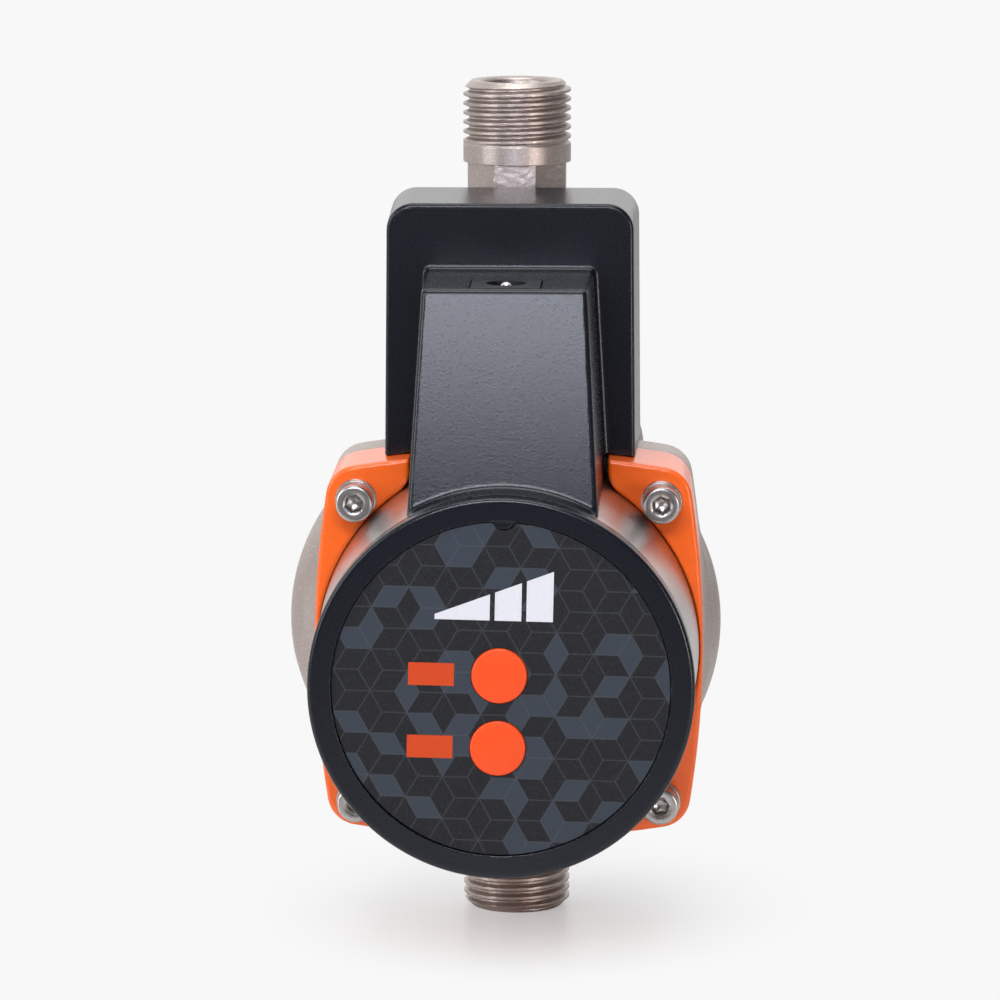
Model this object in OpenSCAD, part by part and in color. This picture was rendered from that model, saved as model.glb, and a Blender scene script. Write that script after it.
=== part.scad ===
// Inline shower booster pump: cast casing, wet rotor motor, flow switch and control head.
// Origin: centre of the inlet end face. +Z runs up the pipe and the motor points along -Y.

/* [Pipe ends] */
// Inlet end face to outlet end face
port_span = 164; // [160:1:172]
// Major diameter of the port threads
thread_d = 20.955; // [20.4:0.005:21.4]
// Length of each port thread
thread_len = 12.6; // [11:0.1:14]
// Height of the plain collar behind each thread
collar_h = 3.2; // [2.2:0.1:4.5]
// Width of the wrench necks across their flats
neck_flats = 19; // [18:0.1:20]
// Height of each wrench neck
neck_h = 10; // [7:0.5:12]
// Diameter of the water way at each port
port_bore_d = 13.2; // [12.8:0.1:14.4]
// Length of the wider water way at each port
port_bore_len = 20; // [16:0.5:22]
// Diameter of the water way past the port bores
way_d = 12.6; // [11.6:0.1:12.7]
// Bevel round each port's end
port_bevel = 1.4; // [0.6:0.1:1.8]
// Outer diameter of the pipe between the necks
pipe_d = 20; // [19:0.1:20.6]

/* [Casing] */
// Height of the motor axis above the inlet end face
axis_h = 60.7; // [59:0.1:63]
// Pipe axis to the back of the casing flange
flange_back = 16; // [15.5:0.1:17.5]
// Thickness of the casing flange
flange_t = 11; // [10:0.1:12]
// Flange width across its bowed sides
flange_w = 73.8; // [73:0.1:77]
// Flange height across its bowed top and bottom
flange_h = 73.2; // [72.6:0.1:76]
// Drop of the flange outline below the motor axis
flange_drop = 0.6; // [-0.5:0.1:1]
// Radius of the bowed flange edges
bow_r = 175; // [150:5:250]
// Radius of the flange corners
corner_r = 8; // [6:0.5:10]
// Distance between neighbouring flange screws
screw_pitch = 57.6; // [56.8:0.1:58.6]
// Least outer radius of the spiral, just past the tongue
spiral_r = 38.8; // [37.5:0.1:40]
// Growth of the spiral's radius over one turn
spiral_growth = 5.3; // [4:0.1:6.5]
// Radius of the spiral's rounded rim
spiral_rim_r = 9; // [8:0.5:9.5]
// Pipe axis to the middle of the spiral's rim
spiral_mid = 11; // [10:0.5:12]
// Wall of the casing outside the spiral channel
casing_wall = 3.4; // [2.8:0.1:4]
// Pipe axis to the floor of the impeller chamber
chamber_floor = 12.2; // [11.8:0.1:13]
// Radius of the impeller chamber
chamber_r = 30.5; // [29.5:0.1:31.5]
// Radius of the bearing plate's seat
plate_seat_r = 33; // [32.5:0.1:33.4]
// Thickness of the bearing plate
plate_t = 3.4; // [2.8:0.1:4]
// Diameter of the casing ring seal's section
ring_seal_d = 1.9; // [1.5:0.1:2.2]

/* [Motor] */
// Depth of the painted flange along the motor axis
housing_t = 19.4; // [17:0.1:21]
// Half width of the slot in the flange's top
slot_half = 18.7; // [18.5:0.1:20]
// Radius of the motor can at the flange
can_r = 36; // [35.8:0.1:36.2]
// Radius of the motor can at its front end
can_front_r = 34.7; // [34.6:0.05:35]
// Wall of the motor can
can_wall = 2; // [1.6:0.1:2.6]
// Pipe axis to the front end of the motor can
can_front = 81.8; // [81.2:0.1:82.6]
// Depth of the board recess in the can's front
recess_depth = 9.8; // [9:0.1:11]
// Outer radius of the rotor cup
cup_r = 15.6; // [15:0.1:16.2]
// Wall of the rotor cup
cup_wall = 0.4; // [0.3:0.05:0.6]
// Pipe axis to the closed end of the rotor cup
cup_end = 66; // [65:0.5:68]
// Number of stator teeth
teeth = 9; // [6:3:12]
// Length of the stator stack
stack_len = 22; // [18:0.5:24]
// Width of each stator tooth
tooth_w = 5; // [4:0.1:5.6]
// Thickness of the stator's outer ring
yoke_t = 5.4; // [4.6:0.1:6]
// Radius of the rotor shaft
shaft_r = 4; // [3.6:0.05:4.3]
// Radius of the rotor magnet
magnet_r = 14.6; // [14:0.1:14.7]
// Radial clearance of the shaft in its bearings
bearing_gap = 0.05; // [0.02:0.01:0.09]

/* [Impeller] */
// Radius of the impeller
impeller_r = 28; // [26:0.5:29]
// Number of impeller blades
blades = 6; // [5:1:8]
// Height of the blades
blade_h = 5.4; // [4.5:0.1:5.8]
// Thickness of each blade
blade_t = 1.6; // [1.2:0.1:2]
// Angle of the blades to the rim
blade_angle = 28; // [24:1:36]
// Radius of the impeller's eye
eye_r = 8.2; // [7.8:0.1:8.4]

/* [Control housing] */
// Pipe axis to the back of the electronics box
box_rear = 11; // [10.8:0.1:11.6]
// Depth of the electronics box
box_depth = 29; // [27:0.5:31]
// Width of the box front at its top
box_w = 46.4; // [45.5:0.1:48]
// Widening of the box front down to its foot, both sides together
box_flare = 0.9; // [0:0.1:2]
// Widening of the box from its front to its back, both sides together
box_draft = 1.4; // [0.4:0.1:2]
// Height of the box top above the inlet end face
box_top = 144.2; // [142.5:0.1:146]
// Radius of the box's upper corners
box_corner_r = 5; // [4:0.1:6.5]
// Wall of the moulded housing
shell_t = 2; // [1.6:0.1:2.4]
// Height of the arm's top face above the inlet end face
arm_top = 131.7; // [130:0.1:133]
// Width of the arm's front at its top
arm_w = 30.4; // [29:0.1:31.5]
// Width of the arm's front at its foot
arm_foot_w = 34.4; // [33:0.1:35]
// Widening of the arm from its front to the box
arm_draft = 1.2; // [0.4:0.1:1.6]
// Pipe axis to the arm's front edge at its top
arm_front_top = 69.2; // [66:0.2:71]
// Pipe axis to the arm's front at its foot
arm_front_foot = 78; // [76:0.2:79]
// Radius of the arm's moulded edges
arm_edge_r = 0.8; // [0.4:0.1:1.2]
// Outer radius of the control head
head_r = 35.35; // [35.2:0.05:36]
// Thickness of the control head's rim along the motor axis
head_rim_t = 5.2; // [4.6:0.1:6]
// Radius of the control panel
panel_r = 30.9; // [30:0.1:31.2]
// Depth of the panel below the rim's front
panel_recess = 0.45; // [0.2:0.05:0.6]
// Thickness of the panel's carrier plate
carrier_t = 2.1; // [1.6:0.1:2.3]
// Thickness of the panel's film
film_t = 0.35; // [0.2:0.05:0.5]
// Clockwise turn of the panel in the head
panel_turn = 1.2; // [-3:0.1:3]

/* [Panel] */
// Radius of the push buttons
button_r = 5.1; // [4.5:0.1:5.4]
// Travel of the push buttons
button_travel = 0.5; // [0.3:0.05:0.55]
// Height of a button's rim over the film
button_proud = 0.45; // [0.2:0.05:0.8]
// Rise of a button's domed face
button_dome = 0.35; // [0.1:0.05:0.6]
// Sideways place of the buttons from the motor axis
button_x = -0.35; // [-2:0.05:2]
// Height of the upper button above the motor axis
button_y = 2.5; // [1.5:0.1:3.5]
// Distance between the two buttons
button_pitch = 13.45; // [12.6:0.05:14.5]
// Width of the indicator lamps
lamp_w = 8.35; // [7.5:0.05:8.8]
// Height of the indicator lamps
lamp_h = 4.2; // [3.5:0.1:5]
// Sideways distance from a button to its lamp
lamp_pitch = 12.4; // [11.6:0.1:13.2]
// Left end of the level bars from the motor axis
bars_x = -12.3; // [-13:0.1:-11]
// Foot of the level bars above the motor axis
bars_y = 12.7; // [11.5:0.1:14]
// Width of the long wedge bar
wedge_w = 10; // [9:0.1:11]
// Width of the two upright bars
bar_w = 4.85; // [4:0.05:5.4]
// Gap between neighbouring bars
bar_gap = 0.9; // [0.7:0.05:1.3]
// Rise of the bars' slanted top over their length
bars_slope = 0.388; // [0.25:0.001:0.42]

/* [Power socket] */
// Pipe axis to the middle of the power socket
jack_depth = 59.6; // [58.5:0.1:61]
// Radius of the socket's opening in the arm
jack_hole_r = 3.75; // [3.4:0.05:4]
// Radius of the socket barrel's bore
jack_bore_r = 2.9; // [2.8:0.05:3.1]
// Radius of the socket's centre pin
jack_pin_r = 1.25; // [1:0.05:1.25]
// Depth of the socket's bore
jack_bore_len = 9.5; // [8:0.1:11]

/* [Flow switch] */
// Height of the float's seat ring above the inlet end face
seat_h = 119; // [117:0.5:121]
// Length of the flow float
float_len = 10; // [8:0.5:12]
// Upward travel of the float
float_travel = 5; // [3:0.5:6]

/* [Hidden] */
$fn = 96;

// Overrun of a cutting shape past the face that it cuts
over = 0.5;
// Clearance between neighbouring parts that are slipped together
slip = 0.1;
// Clearance between moulded parts that only lie near each other
near_gap = 0.2;

// Places along the motor axis, as depth in front of the pipe axis
casing_front = flange_back + flange_t;
housing_front = casing_front + housing_t;
plate_back = casing_front - plate_t;
box_front = box_rear + box_depth;
rim_back = can_front + near_gap;
rim_front = rim_back + head_rim_t;
film_front = rim_front - panel_recess;
carrier_front = film_front - film_t;
carrier_back = carrier_front - carrier_t;
recess_floor = can_front - recess_depth;

thread_r = thread_d / 2;
way_r = way_d / 2;
port_bore_r = port_bore_d / 2;
pipe_r = pipe_d / 2;

// Sets a part on the motor axis: its +Z becomes the way to the front, its +Y the way up
module on_axis() translate([0, 0, axis_h]) rotate([90, 0, 0]) children();

// Sets a part facing the front, with its height counted from the inlet end face
module facing() rotate([90, 0, 0]) children();

// The four corners of the flange screw pattern
module at_screws() for (sx = [-1, 1], sy = [-1, 1])
    translate([sx * screw_pitch / 2, sy * screw_pitch / 2 - flange_drop, 0]) children();

// A ring from radius r0 to r1 between two heights
module ring(r0, r1, z0, z1) difference() {
    translate([0, 0, z0]) cylinder(r = r1, h = z1 - z0);
    translate([0, 0, z0 - over]) cylinder(r = r0, h = z1 - z0 + 2 * over);
}

// Points of an arc round a centre
function arc(cx, cy, r, a0, a1, steps) = [for (i = [0:steps])
    let (a = a0 + (a1 - a0) * i / steps) [cx + r * cos(a), cy + r * sin(a)]];

// Points of the bowed square outline of the flange, grown by a clearance
bow_x = bow_r - flange_w / 2;
bow_y = bow_r - flange_h / 2;
corner_k = (bow_y * bow_y - bow_x * bow_x) / (2 * bow_x);
corner_m = bow_y / bow_x;
corner_q = corner_m * corner_k + bow_y;
corner_n = corner_m * corner_m + 1;
corner_c = corner_k * corner_k + bow_y * bow_y - (bow_r - corner_r) * (bow_r - corner_r);
corner_y = (sqrt(corner_q * corner_q - corner_n * corner_c) - corner_q) / corner_n;
corner_x = corner_m * corner_y + corner_k;
side_a = atan2(corner_y, corner_x + bow_x);
top_a = atan2(corner_y + bow_y, corner_x);
bow_steps = 12;
corner_steps = 10;
function flange_points(grow) = [for (p = concat(
    arc(-bow_x, 0, bow_r + grow, -side_a, side_a, bow_steps),
    arc(corner_x, corner_y, corner_r + grow, side_a, top_a, corner_steps),
    arc(0, -bow_y, bow_r + grow, top_a, 180 - top_a, bow_steps),
    arc(-corner_x, corner_y, corner_r + grow, 180 - top_a, 180 - side_a, corner_steps),
    arc(bow_x, 0, bow_r + grow, 180 - side_a, 180 + side_a, bow_steps),
    arc(-corner_x, -corner_y, corner_r + grow, 180 + side_a, 180 + top_a, corner_steps),
    arc(0, bow_y, bow_r + grow, 180 + top_a, 360 - top_a, bow_steps),
    arc(corner_x, -corner_y, corner_r + grow, 360 - top_a, 360 - side_a, corner_steps)))
    [p[0], p[1] - flange_drop]];

// The spiral grows clockwise, seen from the front, and eases back before the tongue
tongue_a = 20;
growing_a = 240;
spiral_steps = 60;
function spiral_at(a) = spiral_r + spiral_growth * (a < growing_a ? a / growing_a
    : (1 + cos(180 * (a - growing_a) / (360 - growing_a))) / 2);
function spiral_points(inset) = [for (i = [0:spiral_steps - 1])
    let (a = 360 * i / spiral_steps, r = spiral_at(a) - inset)
    [r * sin(tongue_a + a), r * cos(tongue_a + a)]];

// Closed skin of the spiral: a flat back, a half round rim and a flat front
rim_steps = 9;
spiral_back_rise = 1;
module spiral_skin() {
    columns = [for (i = [0:spiral_steps - 1])
        let (a = 360 * i / spiral_steps, mid = spiral_at(a) - spiral_rim_r)
        for (j = [0:rim_steps])
            let (b = -90 + 180 * j / rim_steps, r = mid + spiral_rim_r * cos(b))
            [r * sin(tongue_a + a), r * cos(tongue_a + a), spiral_mid + spiral_rim_r * sin(b)]];
    row = rim_steps + 1;
    last = spiral_steps * row;
    polyhedron(
        points = concat(columns, [[0, 0, spiral_mid - spiral_rim_r - spiral_back_rise],
            [0, 0, spiral_mid + spiral_rim_r]]),
        faces = concat(
            [for (i = [0:spiral_steps - 1]) let (n = (i + 1) % spiral_steps)
                for (j = [0:rim_steps - 1])
                    [i * row + j, n * row + j, n * row + j + 1, i * row + j + 1]],
            [for (i = [0:spiral_steps - 1]) let (n = (i + 1) % spiral_steps)
                [last, n * row, i * row]],
            [for (i = [0:spiral_steps - 1]) let (n = (i + 1) % spiral_steps)
                [last + 1, i * row + rim_steps, n * row + rim_steps]]));
}

// One pipe end, its end face at zero: bevelled thread and collar. It is a piece of its own, so that
// what screws on it has room beside the spiral
neck_end = thread_len + collar_h + neck_h;
collar_bevel = 1;
port_h = thread_len + collar_h + collar_bevel;
mouth_bevel = 0.8;
module port() difference() {
    rotate_extrude() polygon([[0, 0], [thread_r - port_bevel, 0], [thread_r, port_bevel],
        [thread_r, thread_len + collar_h], [neck_flats / 2, port_h], [0, port_h]]);
    translate([0, 0, -over]) {
        cylinder(r = port_bore_r, h = port_bore_len + over);
        cylinder(r = way_r, h = port_h + 2 * over);
        cylinder(r1 = port_bore_r + mouth_bevel + over, r2 = port_bore_r, h = mouth_bevel + over);
    }
}
module inlet_port() color([0.62, 0.58, 0.55]) port();
module outlet_port() color([0.62, 0.58, 0.55]) translate([0, 0, port_span]) mirror([0, 0, 1]) port();

// What the casting has at each end: an octagonal wrench neck, cut off flat where the port starts
module wrench_neck() translate([0, 0, port_h - over]) rotate(22.5)
    cylinder(r = neck_flats / 2 / cos(22.5), h = neck_end - port_h + over, $fn = 8);
module port_room() translate([0, 0, -over]) cylinder(r = thread_r + slip, h = port_h + over);

// The casting's shoulders run from the spiral up to the outlet pipe, behind the box
shoulder_ball_r = 8;
shoulder_half = 16.5;
shoulder_depth = 2.4;
shoulder_rise = 33;
shoulder_top = seat_h - 5;
module shoulders() hull() {
    for (s = [-1, 1]) translate([s * shoulder_half, -shoulder_depth, axis_h + shoulder_rise])
        sphere(r = shoulder_ball_r, $fn = 32);
    translate([0, 0, shoulder_top]) cylinder(r = pipe_r, h = over, $fn = 32);
}

// Flat pad on the pipe that carries the electronics box
pad_half = 11.5;
pad_drop = 7.2;
pad_len = 24;
pad_high = box_top - pad_drop;
pad_low = pad_high - pad_len;
pad_root = 4;
module sensor_pad() translate([-pad_half, -box_rear, pad_low])
    cube([2 * pad_half, box_rear - pad_root, pad_high - pad_low]);

// Places of the two screws that hold the box to the pad
bracket_x = 9;
bracket_h = pad_low + pad_len / 2;
bracket_screw_r = 1.5;
bracket_screw_len = 5.5;
bracket_head_r = 2.7;
bracket_head_h = 1.9;
module at_brackets() facing() for (s = [-1, 1])
    translate([s * bracket_x, bracket_h, 0]) children();

seal_mid_r = plate_seat_r + ring_seal_d / 2;
neck_ring_t = 1.3;
neck_ring_gap = 0.2;
neck_ring_r = eye_r + neck_ring_t;
neck_ring_back = chamber_floor - neck_ring_t;
elbow_r = 12.8;
channel_h = 4;
// The throat leans back from the channel to the pipe axis: its depth and rise, and its upper end
throat_depth = 8.1;
throat_rise = 28.7;
throat_low = axis_h + throat_rise;
throat_h = 13.3;
throat_top = throat_low + throat_h;
bend_run = 2;
way_low = min(throat_top, seat_h) - bend_run;
screw_r = 2;
screw_tip = flange_back + 3;

module pump_casing() color([0.62, 0.58, 0.55]) difference() {
    union() {
        wrench_neck();
        translate([0, 0, port_span]) mirror([0, 0, 1]) wrench_neck();
        translate([0, 0, neck_end - over]) cylinder(r = pipe_r, h = port_span - 2 * (neck_end - over));
        translate([0, 0, axis_h]) sphere(r = elbow_r);
        on_axis() spiral_skin();
        on_axis() translate([0, 0, flange_back]) linear_extrude(flange_t) polygon(flange_points(0));
        shoulders();
        sensor_pad();
    }
    // water way from the inlet up to the elbow and forward into the impeller's eye
    translate([0, 0, -over]) cylinder(r = port_bore_r, h = port_bore_len + over);
    cylinder(r = way_r, h = axis_h + way_r + over);
    on_axis() cylinder(r = way_r, h = chamber_floor);
    // impeller chamber, its eye ring seat, spiral channel and bearing plate seat
    on_axis() {
        translate([0, 0, neck_ring_back - neck_ring_gap])
            cylinder(r = neck_ring_r + neck_ring_gap, h = neck_ring_t + neck_ring_gap + over);
        translate([0, 0, chamber_floor]) cylinder(r = chamber_r, h = flange_t + flange_back);
        translate([0, 0, chamber_floor]) linear_extrude(channel_h)
            polygon(spiral_points(casing_wall));
        translate([0, 0, plate_back]) cylinder(r = plate_seat_r, h = plate_t + over);
        translate([0, 0, casing_front - ring_seal_d])
            cylinder(r = plate_seat_r + ring_seal_d, h = ring_seal_d + over);
        at_screws() translate([0, 0, screw_tip]) cylinder(r = screw_r, h = casing_front - screw_tip + over);
    }
    // water way from the channel up to the outlet
    translate([0, -throat_depth, throat_low]) rotate([-atan2(throat_depth, throat_h), 0, 0])
        cylinder(r = way_r, h = norm([throat_depth, throat_h]) + bend_run);
    translate([0, 0, way_low]) cylinder(r = way_r, h = port_span - way_low);
    translate([0, 0, port_span - port_bore_len]) cylinder(r = port_bore_r, h = port_bore_len + over);
    port_room();
    translate([0, 0, port_span]) mirror([0, 0, 1]) port_room();
    at_brackets() translate([0, 0, box_rear + shell_t - bracket_screw_len])
        cylinder(r = bracket_screw_r, h = bracket_screw_len);
}

module casing_ring_seal() color([0.1, 0.1, 0.1]) on_axis()
    translate([0, 0, casing_front - ring_seal_d / 2]) rotate_extrude()
        translate([seal_mid_r, 0]) circle(r = ring_seal_d / 2, $fn = 32);

bush_r = 7;
bush_flange_r = 9.5;
bush_flange_t = 1.4;
bush_len = 8;
bush_step = 0.7;
vent_r = 1.2;
vent_circle_r = 12.4;
vents = 3;
module bearing_plate() color([0.75, 0.76, 0.78]) on_axis() difference() {
    ring(bush_r, plate_seat_r, plate_back, casing_front);
    for (i = [0:vents - 1]) rotate(360 * i / vents) translate([vent_circle_r, 0, plate_back - over])
        cylinder(r = vent_r, h = plate_t + 2 * over);
}

bush_back = plate_back - bush_step;
module pump_side_bearing() color([0.2, 0.2, 0.22]) on_axis() {
    difference() {
        union() {
            translate([0, 0, bush_back]) cylinder(r = bush_r, h = bush_len);
            translate([0, 0, casing_front]) cylinder(r = bush_flange_r, h = bush_flange_t);
        }
        translate([0, 0, bush_back - over]) cylinder(r = shaft_r + bearing_gap, h = bush_len + 2 * over);
    }
}

end_bush_len = 4;
end_bush_back = cup_end - cup_wall - end_bush_len;
module motor_end_bearing() color([0.2, 0.2, 0.22]) on_axis()
    ring(shaft_r + bearing_gap, cup_r - cup_wall, end_bush_back, cup_end - cup_wall);

washer_t = 0.8;
washer_r = 8;
bush_front = bush_back + bush_len;
module thrust_washers() color([0.85, 0.83, 0.78]) on_axis() {
    ring(shaft_r + near_gap, washer_r, bush_front, bush_front + washer_t);
    ring(shaft_r + near_gap, washer_r, end_bush_back - washer_t, end_bush_back);
}

module rotor_cup() color([0.78, 0.79, 0.8]) on_axis() difference() {
    union() {
        translate([0, 0, casing_front]) cylinder(r = plate_seat_r, h = cup_wall);
        translate([0, 0, casing_front]) cylinder(r = cup_r, h = cup_end - casing_front);
    }
    translate([0, 0, casing_front - over])
        cylinder(r = cup_r - cup_wall, h = cup_end - cup_wall - casing_front + over);
}

// The painted flange: a bowed square ring round the can, slotted at its top for the arm
flange_edge = 0.3;
module motor_flange() color([1, 0.36, 0.05]) on_axis() difference() {
    union() {
        translate([0, 0, casing_front]) linear_extrude(housing_t - flange_edge) polygon(flange_points(0));
        translate([0, 0, casing_front]) linear_extrude(housing_t) polygon(flange_points(-flange_edge));
    }
    translate([0, 0, casing_front - over]) cylinder(r = can_r, h = housing_t + 2 * over, $fn = 180);
    translate([0, 0, housing_front - flange_edge]) cylinder(r1 = can_r, r2 = can_r + flange_edge + over,
        h = flange_edge + over, $fn = 180);
    translate([-slot_half, 0, casing_front - over])
        cube([2 * slot_half, flange_h, housing_t + 2 * over]);
    at_screws() translate([0, 0, casing_front - over])
        cylinder(r = screw_r + near_gap, h = housing_t + 2 * over);
}

// The can: a drafted shell with a web behind the board recess in its front
can_bore_r = can_front_r - can_wall;
lip_share = 0.65;
recess_r = can_front_r - lip_share * can_wall;
ledge_t = 2.9;
spigot_len = 3.4;
board_t = 1.6;
board_back = can_front - spigot_len - board_t;
lead_half = 4;
lead_notch_half = lead_half + ledge_t / 2;
web_hole_r = 0.9;
web_hole_circle_r = 23;
module at_web_holes() for (i = [1:3]) rotate(360 * i / teeth) translate([web_hole_circle_r, 0, 0]) children();
module motor_can() color([0.72, 0.73, 0.74]) on_axis() difference() {
    rotate_extrude($fn = 180) polygon([[0, recess_floor - can_wall], [can_bore_r, recess_floor - can_wall],
        [can_bore_r, casing_front + cup_wall], [plate_seat_r + slip, casing_front + cup_wall],
        [plate_seat_r + slip, casing_front], [can_r, casing_front],
        [can_r, housing_front + flange_edge], [can_front_r, can_front - flange_edge],
        [can_front_r - flange_edge, can_front], [recess_r, can_front], [recess_r, board_back],
        [recess_r - ledge_t, board_back], [recess_r - ledge_t, recess_floor], [0, recess_floor]]);
    translate([-lead_notch_half, recess_r - ledge_t - over, recess_floor])
        cube([2 * lead_notch_half, ledge_t + can_wall + 2 * over, recess_depth + over]);
    at_web_holes() translate([0, 0, recess_floor - can_wall - over])
        cylinder(r = web_hole_r, h = can_wall + 2 * over);
}

shoe_t = 2.2;
slot_mouth = 2.4;
stack_back = 35;
module stator_core() color([0.5, 0.5, 0.52]) on_axis() translate([0, 0, stack_back])
    linear_extrude(stack_len) difference() {
        union() {
            difference() {
                circle(r = can_bore_r);
                circle(r = can_bore_r - yoke_t);
            }
            difference() {
                circle(r = cup_r + near_gap + shoe_t);
                for (i = [0:teeth - 1]) rotate(360 * (i + 0.5) / teeth)
                    translate([0, -slot_mouth / 2]) square([can_bore_r - yoke_t, slot_mouth]);
            }
            for (i = [0:teeth - 1]) rotate(360 * i / teeth)
                translate([0, -tooth_w / 2]) square([can_bore_r - yoke_t / 2, tooth_w]);
        }
        circle(r = cup_r + near_gap);
    }

coil_t = 2.2;
coil_clear = 1.2;
coil_in_r = cup_r + near_gap + shoe_t + coil_clear;
coil_out_r = sqrt(pow(can_bore_r - yoke_t - near_gap, 2) - pow(tooth_w / 2 + coil_t, 2));
module stator_coils() color([0.72, 0.42, 0.2]) on_axis() for (i = [0:teeth - 1]) rotate(360 * i / teeth)
    difference() {
        translate([coil_in_r, -tooth_w / 2 - coil_t, stack_back - coil_t])
            cube([coil_out_r - coil_in_r, tooth_w + 2 * coil_t, stack_len + 2 * coil_t]);
        translate([coil_in_r - over, -tooth_w / 2, stack_back])
            cube([coil_out_r - coil_in_r + 2 * over, tooth_w, stack_len]);
    }

// Three stiff leads run from the coils through the can's web to the display board
lead_r = 0.7;
module motor_leads() color([0.8, 0.2, 0.15]) on_axis() at_web_holes()
    translate([0, 0, stack_back + stack_len + coil_t])
    cylinder(r = lead_r, h = board_back - stack_back - stack_len - coil_t);

// The impeller stands between the chamber floor and the bearing plate
eye_gap = 0.7;
shroud_t = 1.3;
shroud_back = chamber_floor + eye_gap;
blade_back = shroud_back + shroud_t;
disc_back = blade_back + blade_h;
disc_t = 1.8;
hub_r = 5.4;
stub_r = 2.5;
nut_h = 2.2;
nut_flats = 8;
blade_start_r = 9;
blade_steps = 14;

module rotor_shaft() color([0.86, 0.86, 0.84]) on_axis() {
    translate([0, 0, blade_back]) cylinder(r = shaft_r, h = cup_end - 2 * cup_wall - blade_back);
    translate([0, 0, blade_back - nut_h - near_gap]) cylinder(r = stub_r, h = nut_h + near_gap);
}

module rotor_magnet() color([0.3, 0.3, 0.32]) on_axis()
    ring(shaft_r, magnet_r, bush_front + washer_t + near_gap, end_bush_back - washer_t - near_gap);

// One blade: a logarithmic spiral that meets every radius at the blade angle
function blade_turn(r) = ln(r / blade_start_r) / tan(blade_angle) * 180 / PI;
function blade_half(r) = asin(blade_t / 2 / r) / sin(blade_angle);
function blade_edge(s) = [for (i = [0:blade_steps])
    let (r = blade_start_r + (impeller_r - blade_start_r) * i / blade_steps,
        a = blade_turn(r) + s * blade_half(r)) [r * cos(a), r * sin(a)]];
function reversed(list) = [for (i = [len(list) - 1:-1:0]) list[i]];

module impeller() color([0.9, 0.88, 0.82]) on_axis() difference() {
    union() {
        translate([0, 0, disc_back]) cylinder(r = impeller_r, h = disc_t);
        translate([0, 0, blade_back]) cylinder(r = hub_r, h = blade_h + disc_t);
        for (i = [0:blades - 1]) rotate(360 * i / blades) translate([0, 0, blade_back])
            linear_extrude(blade_h + disc_t / 2) polygon(concat(blade_edge(-1), reversed(blade_edge(1))));
    }
    translate([0, 0, blade_back - over]) cylinder(r = shaft_r, h = blade_h + disc_t + 2 * over);
}

module impeller_shroud() color([0.9, 0.88, 0.82]) on_axis() {
    difference() {
        union() {
            translate([0, 0, shroud_back]) cylinder(r = impeller_r, h = shroud_t);
            translate([0, 0, neck_ring_back]) cylinder(r = neck_ring_r, h = shroud_back - neck_ring_back + shroud_t);
        }
        translate([0, 0, neck_ring_back - over]) cylinder(r = eye_r, h = shroud_t + 2 * over + blade_h);
    }
}

module impeller_nut() color([0.8, 0.8, 0.8]) on_axis() difference() {
    translate([0, 0, blade_back - nut_h]) cylinder(r = nut_flats / 2 / cos(30), h = nut_h, $fn = 6);
    translate([0, 0, blade_back - nut_h - over]) cylinder(r = stub_r, h = nut_h + 2 * over);
}

// Socket cap screws with a split and a flat washer each
flat_washer_t = 0.8;
split_washer_t = 1.1;
washer_out_r = 3.9;
split_out_r = 3.8;
split_gap = 0.9;
head_screw_r = 3.5;
head_screw_h = 4;
head_bevel = 0.35;
key_flats = 3;
key_depth = 2.2;
head_seat = housing_front + flat_washer_t + split_washer_t;
module cap_screws() color([0.75, 0.75, 0.76]) on_axis() at_screws() difference() {
    union() {
        translate([0, 0, screw_tip + near_gap]) cylinder(r = screw_r, h = head_seat - screw_tip - near_gap);
        rotate_extrude() polygon([[0, head_seat], [head_screw_r, head_seat],
            [head_screw_r, head_seat + head_screw_h - head_bevel],
            [head_screw_r - head_bevel, head_seat + head_screw_h], [0, head_seat + head_screw_h]]);
    }
    translate([0, 0, head_seat + head_screw_h - key_depth])
        cylinder(r = key_flats / 2 / cos(30), h = key_depth + over, $fn = 6);
}

module spring_washers() color([0.7, 0.7, 0.71]) on_axis() at_screws() difference() {
    ring(screw_r, split_out_r, housing_front + flat_washer_t, head_seat);
    translate([0, -split_gap / 2, housing_front + flat_washer_t - over])
        cube([split_out_r + over, split_gap, split_washer_t + 2 * over]);
}

module flat_washers() color([0.75, 0.75, 0.76]) on_axis() at_screws()
    ring(screw_r, washer_out_r, housing_front, housing_front + flat_washer_t);

// Outline of the box, facing the front: straight foot, flared sides, round upper corners
sheet_t = 0.02;
foot_drop = 2.6;
flange_top = axis_h + flange_h / 2 - flange_drop;
box_foot = flange_top - foot_drop;
floor_low = flange_top + slip + shell_t;
floor_h = axis_h + spiral_at(360 - tongue_a) + slip + shell_t;
box_edge = 0.7;
function box_points(half, foot, inset) = concat([[-half - box_flare / 2 + inset, foot],
    [half + box_flare / 2 - inset, foot]],
    arc(half - box_corner_r, box_top - box_corner_r, box_corner_r - inset, 0, 90, corner_steps),
    arc(-half + box_corner_r, box_top - box_corner_r, box_corner_r - inset, 90, 180, corner_steps));
module box_sheet(depth, half, foot, inset) translate([0, 0, depth])
    linear_extrude(sheet_t) polygon(box_points(half, foot, inset));
rear_half = box_w / 2 + box_draft / 2;
module box_form() hull() {
    box_sheet(box_rear, rear_half, box_foot, 0);
    box_sheet(box_front - box_edge, box_w / 2, box_foot, 0);
    box_sheet(box_front - sheet_t, box_w / 2, box_foot, box_edge);
}
module box_hollow(depth, half, foot) hull() {
    box_sheet(depth, half, foot, shell_t);
    box_sheet(box_front - shell_t, box_w / 2, foot, shell_t);
}
step_back = spiral_mid + spiral_rim_r + shell_t;

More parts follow.
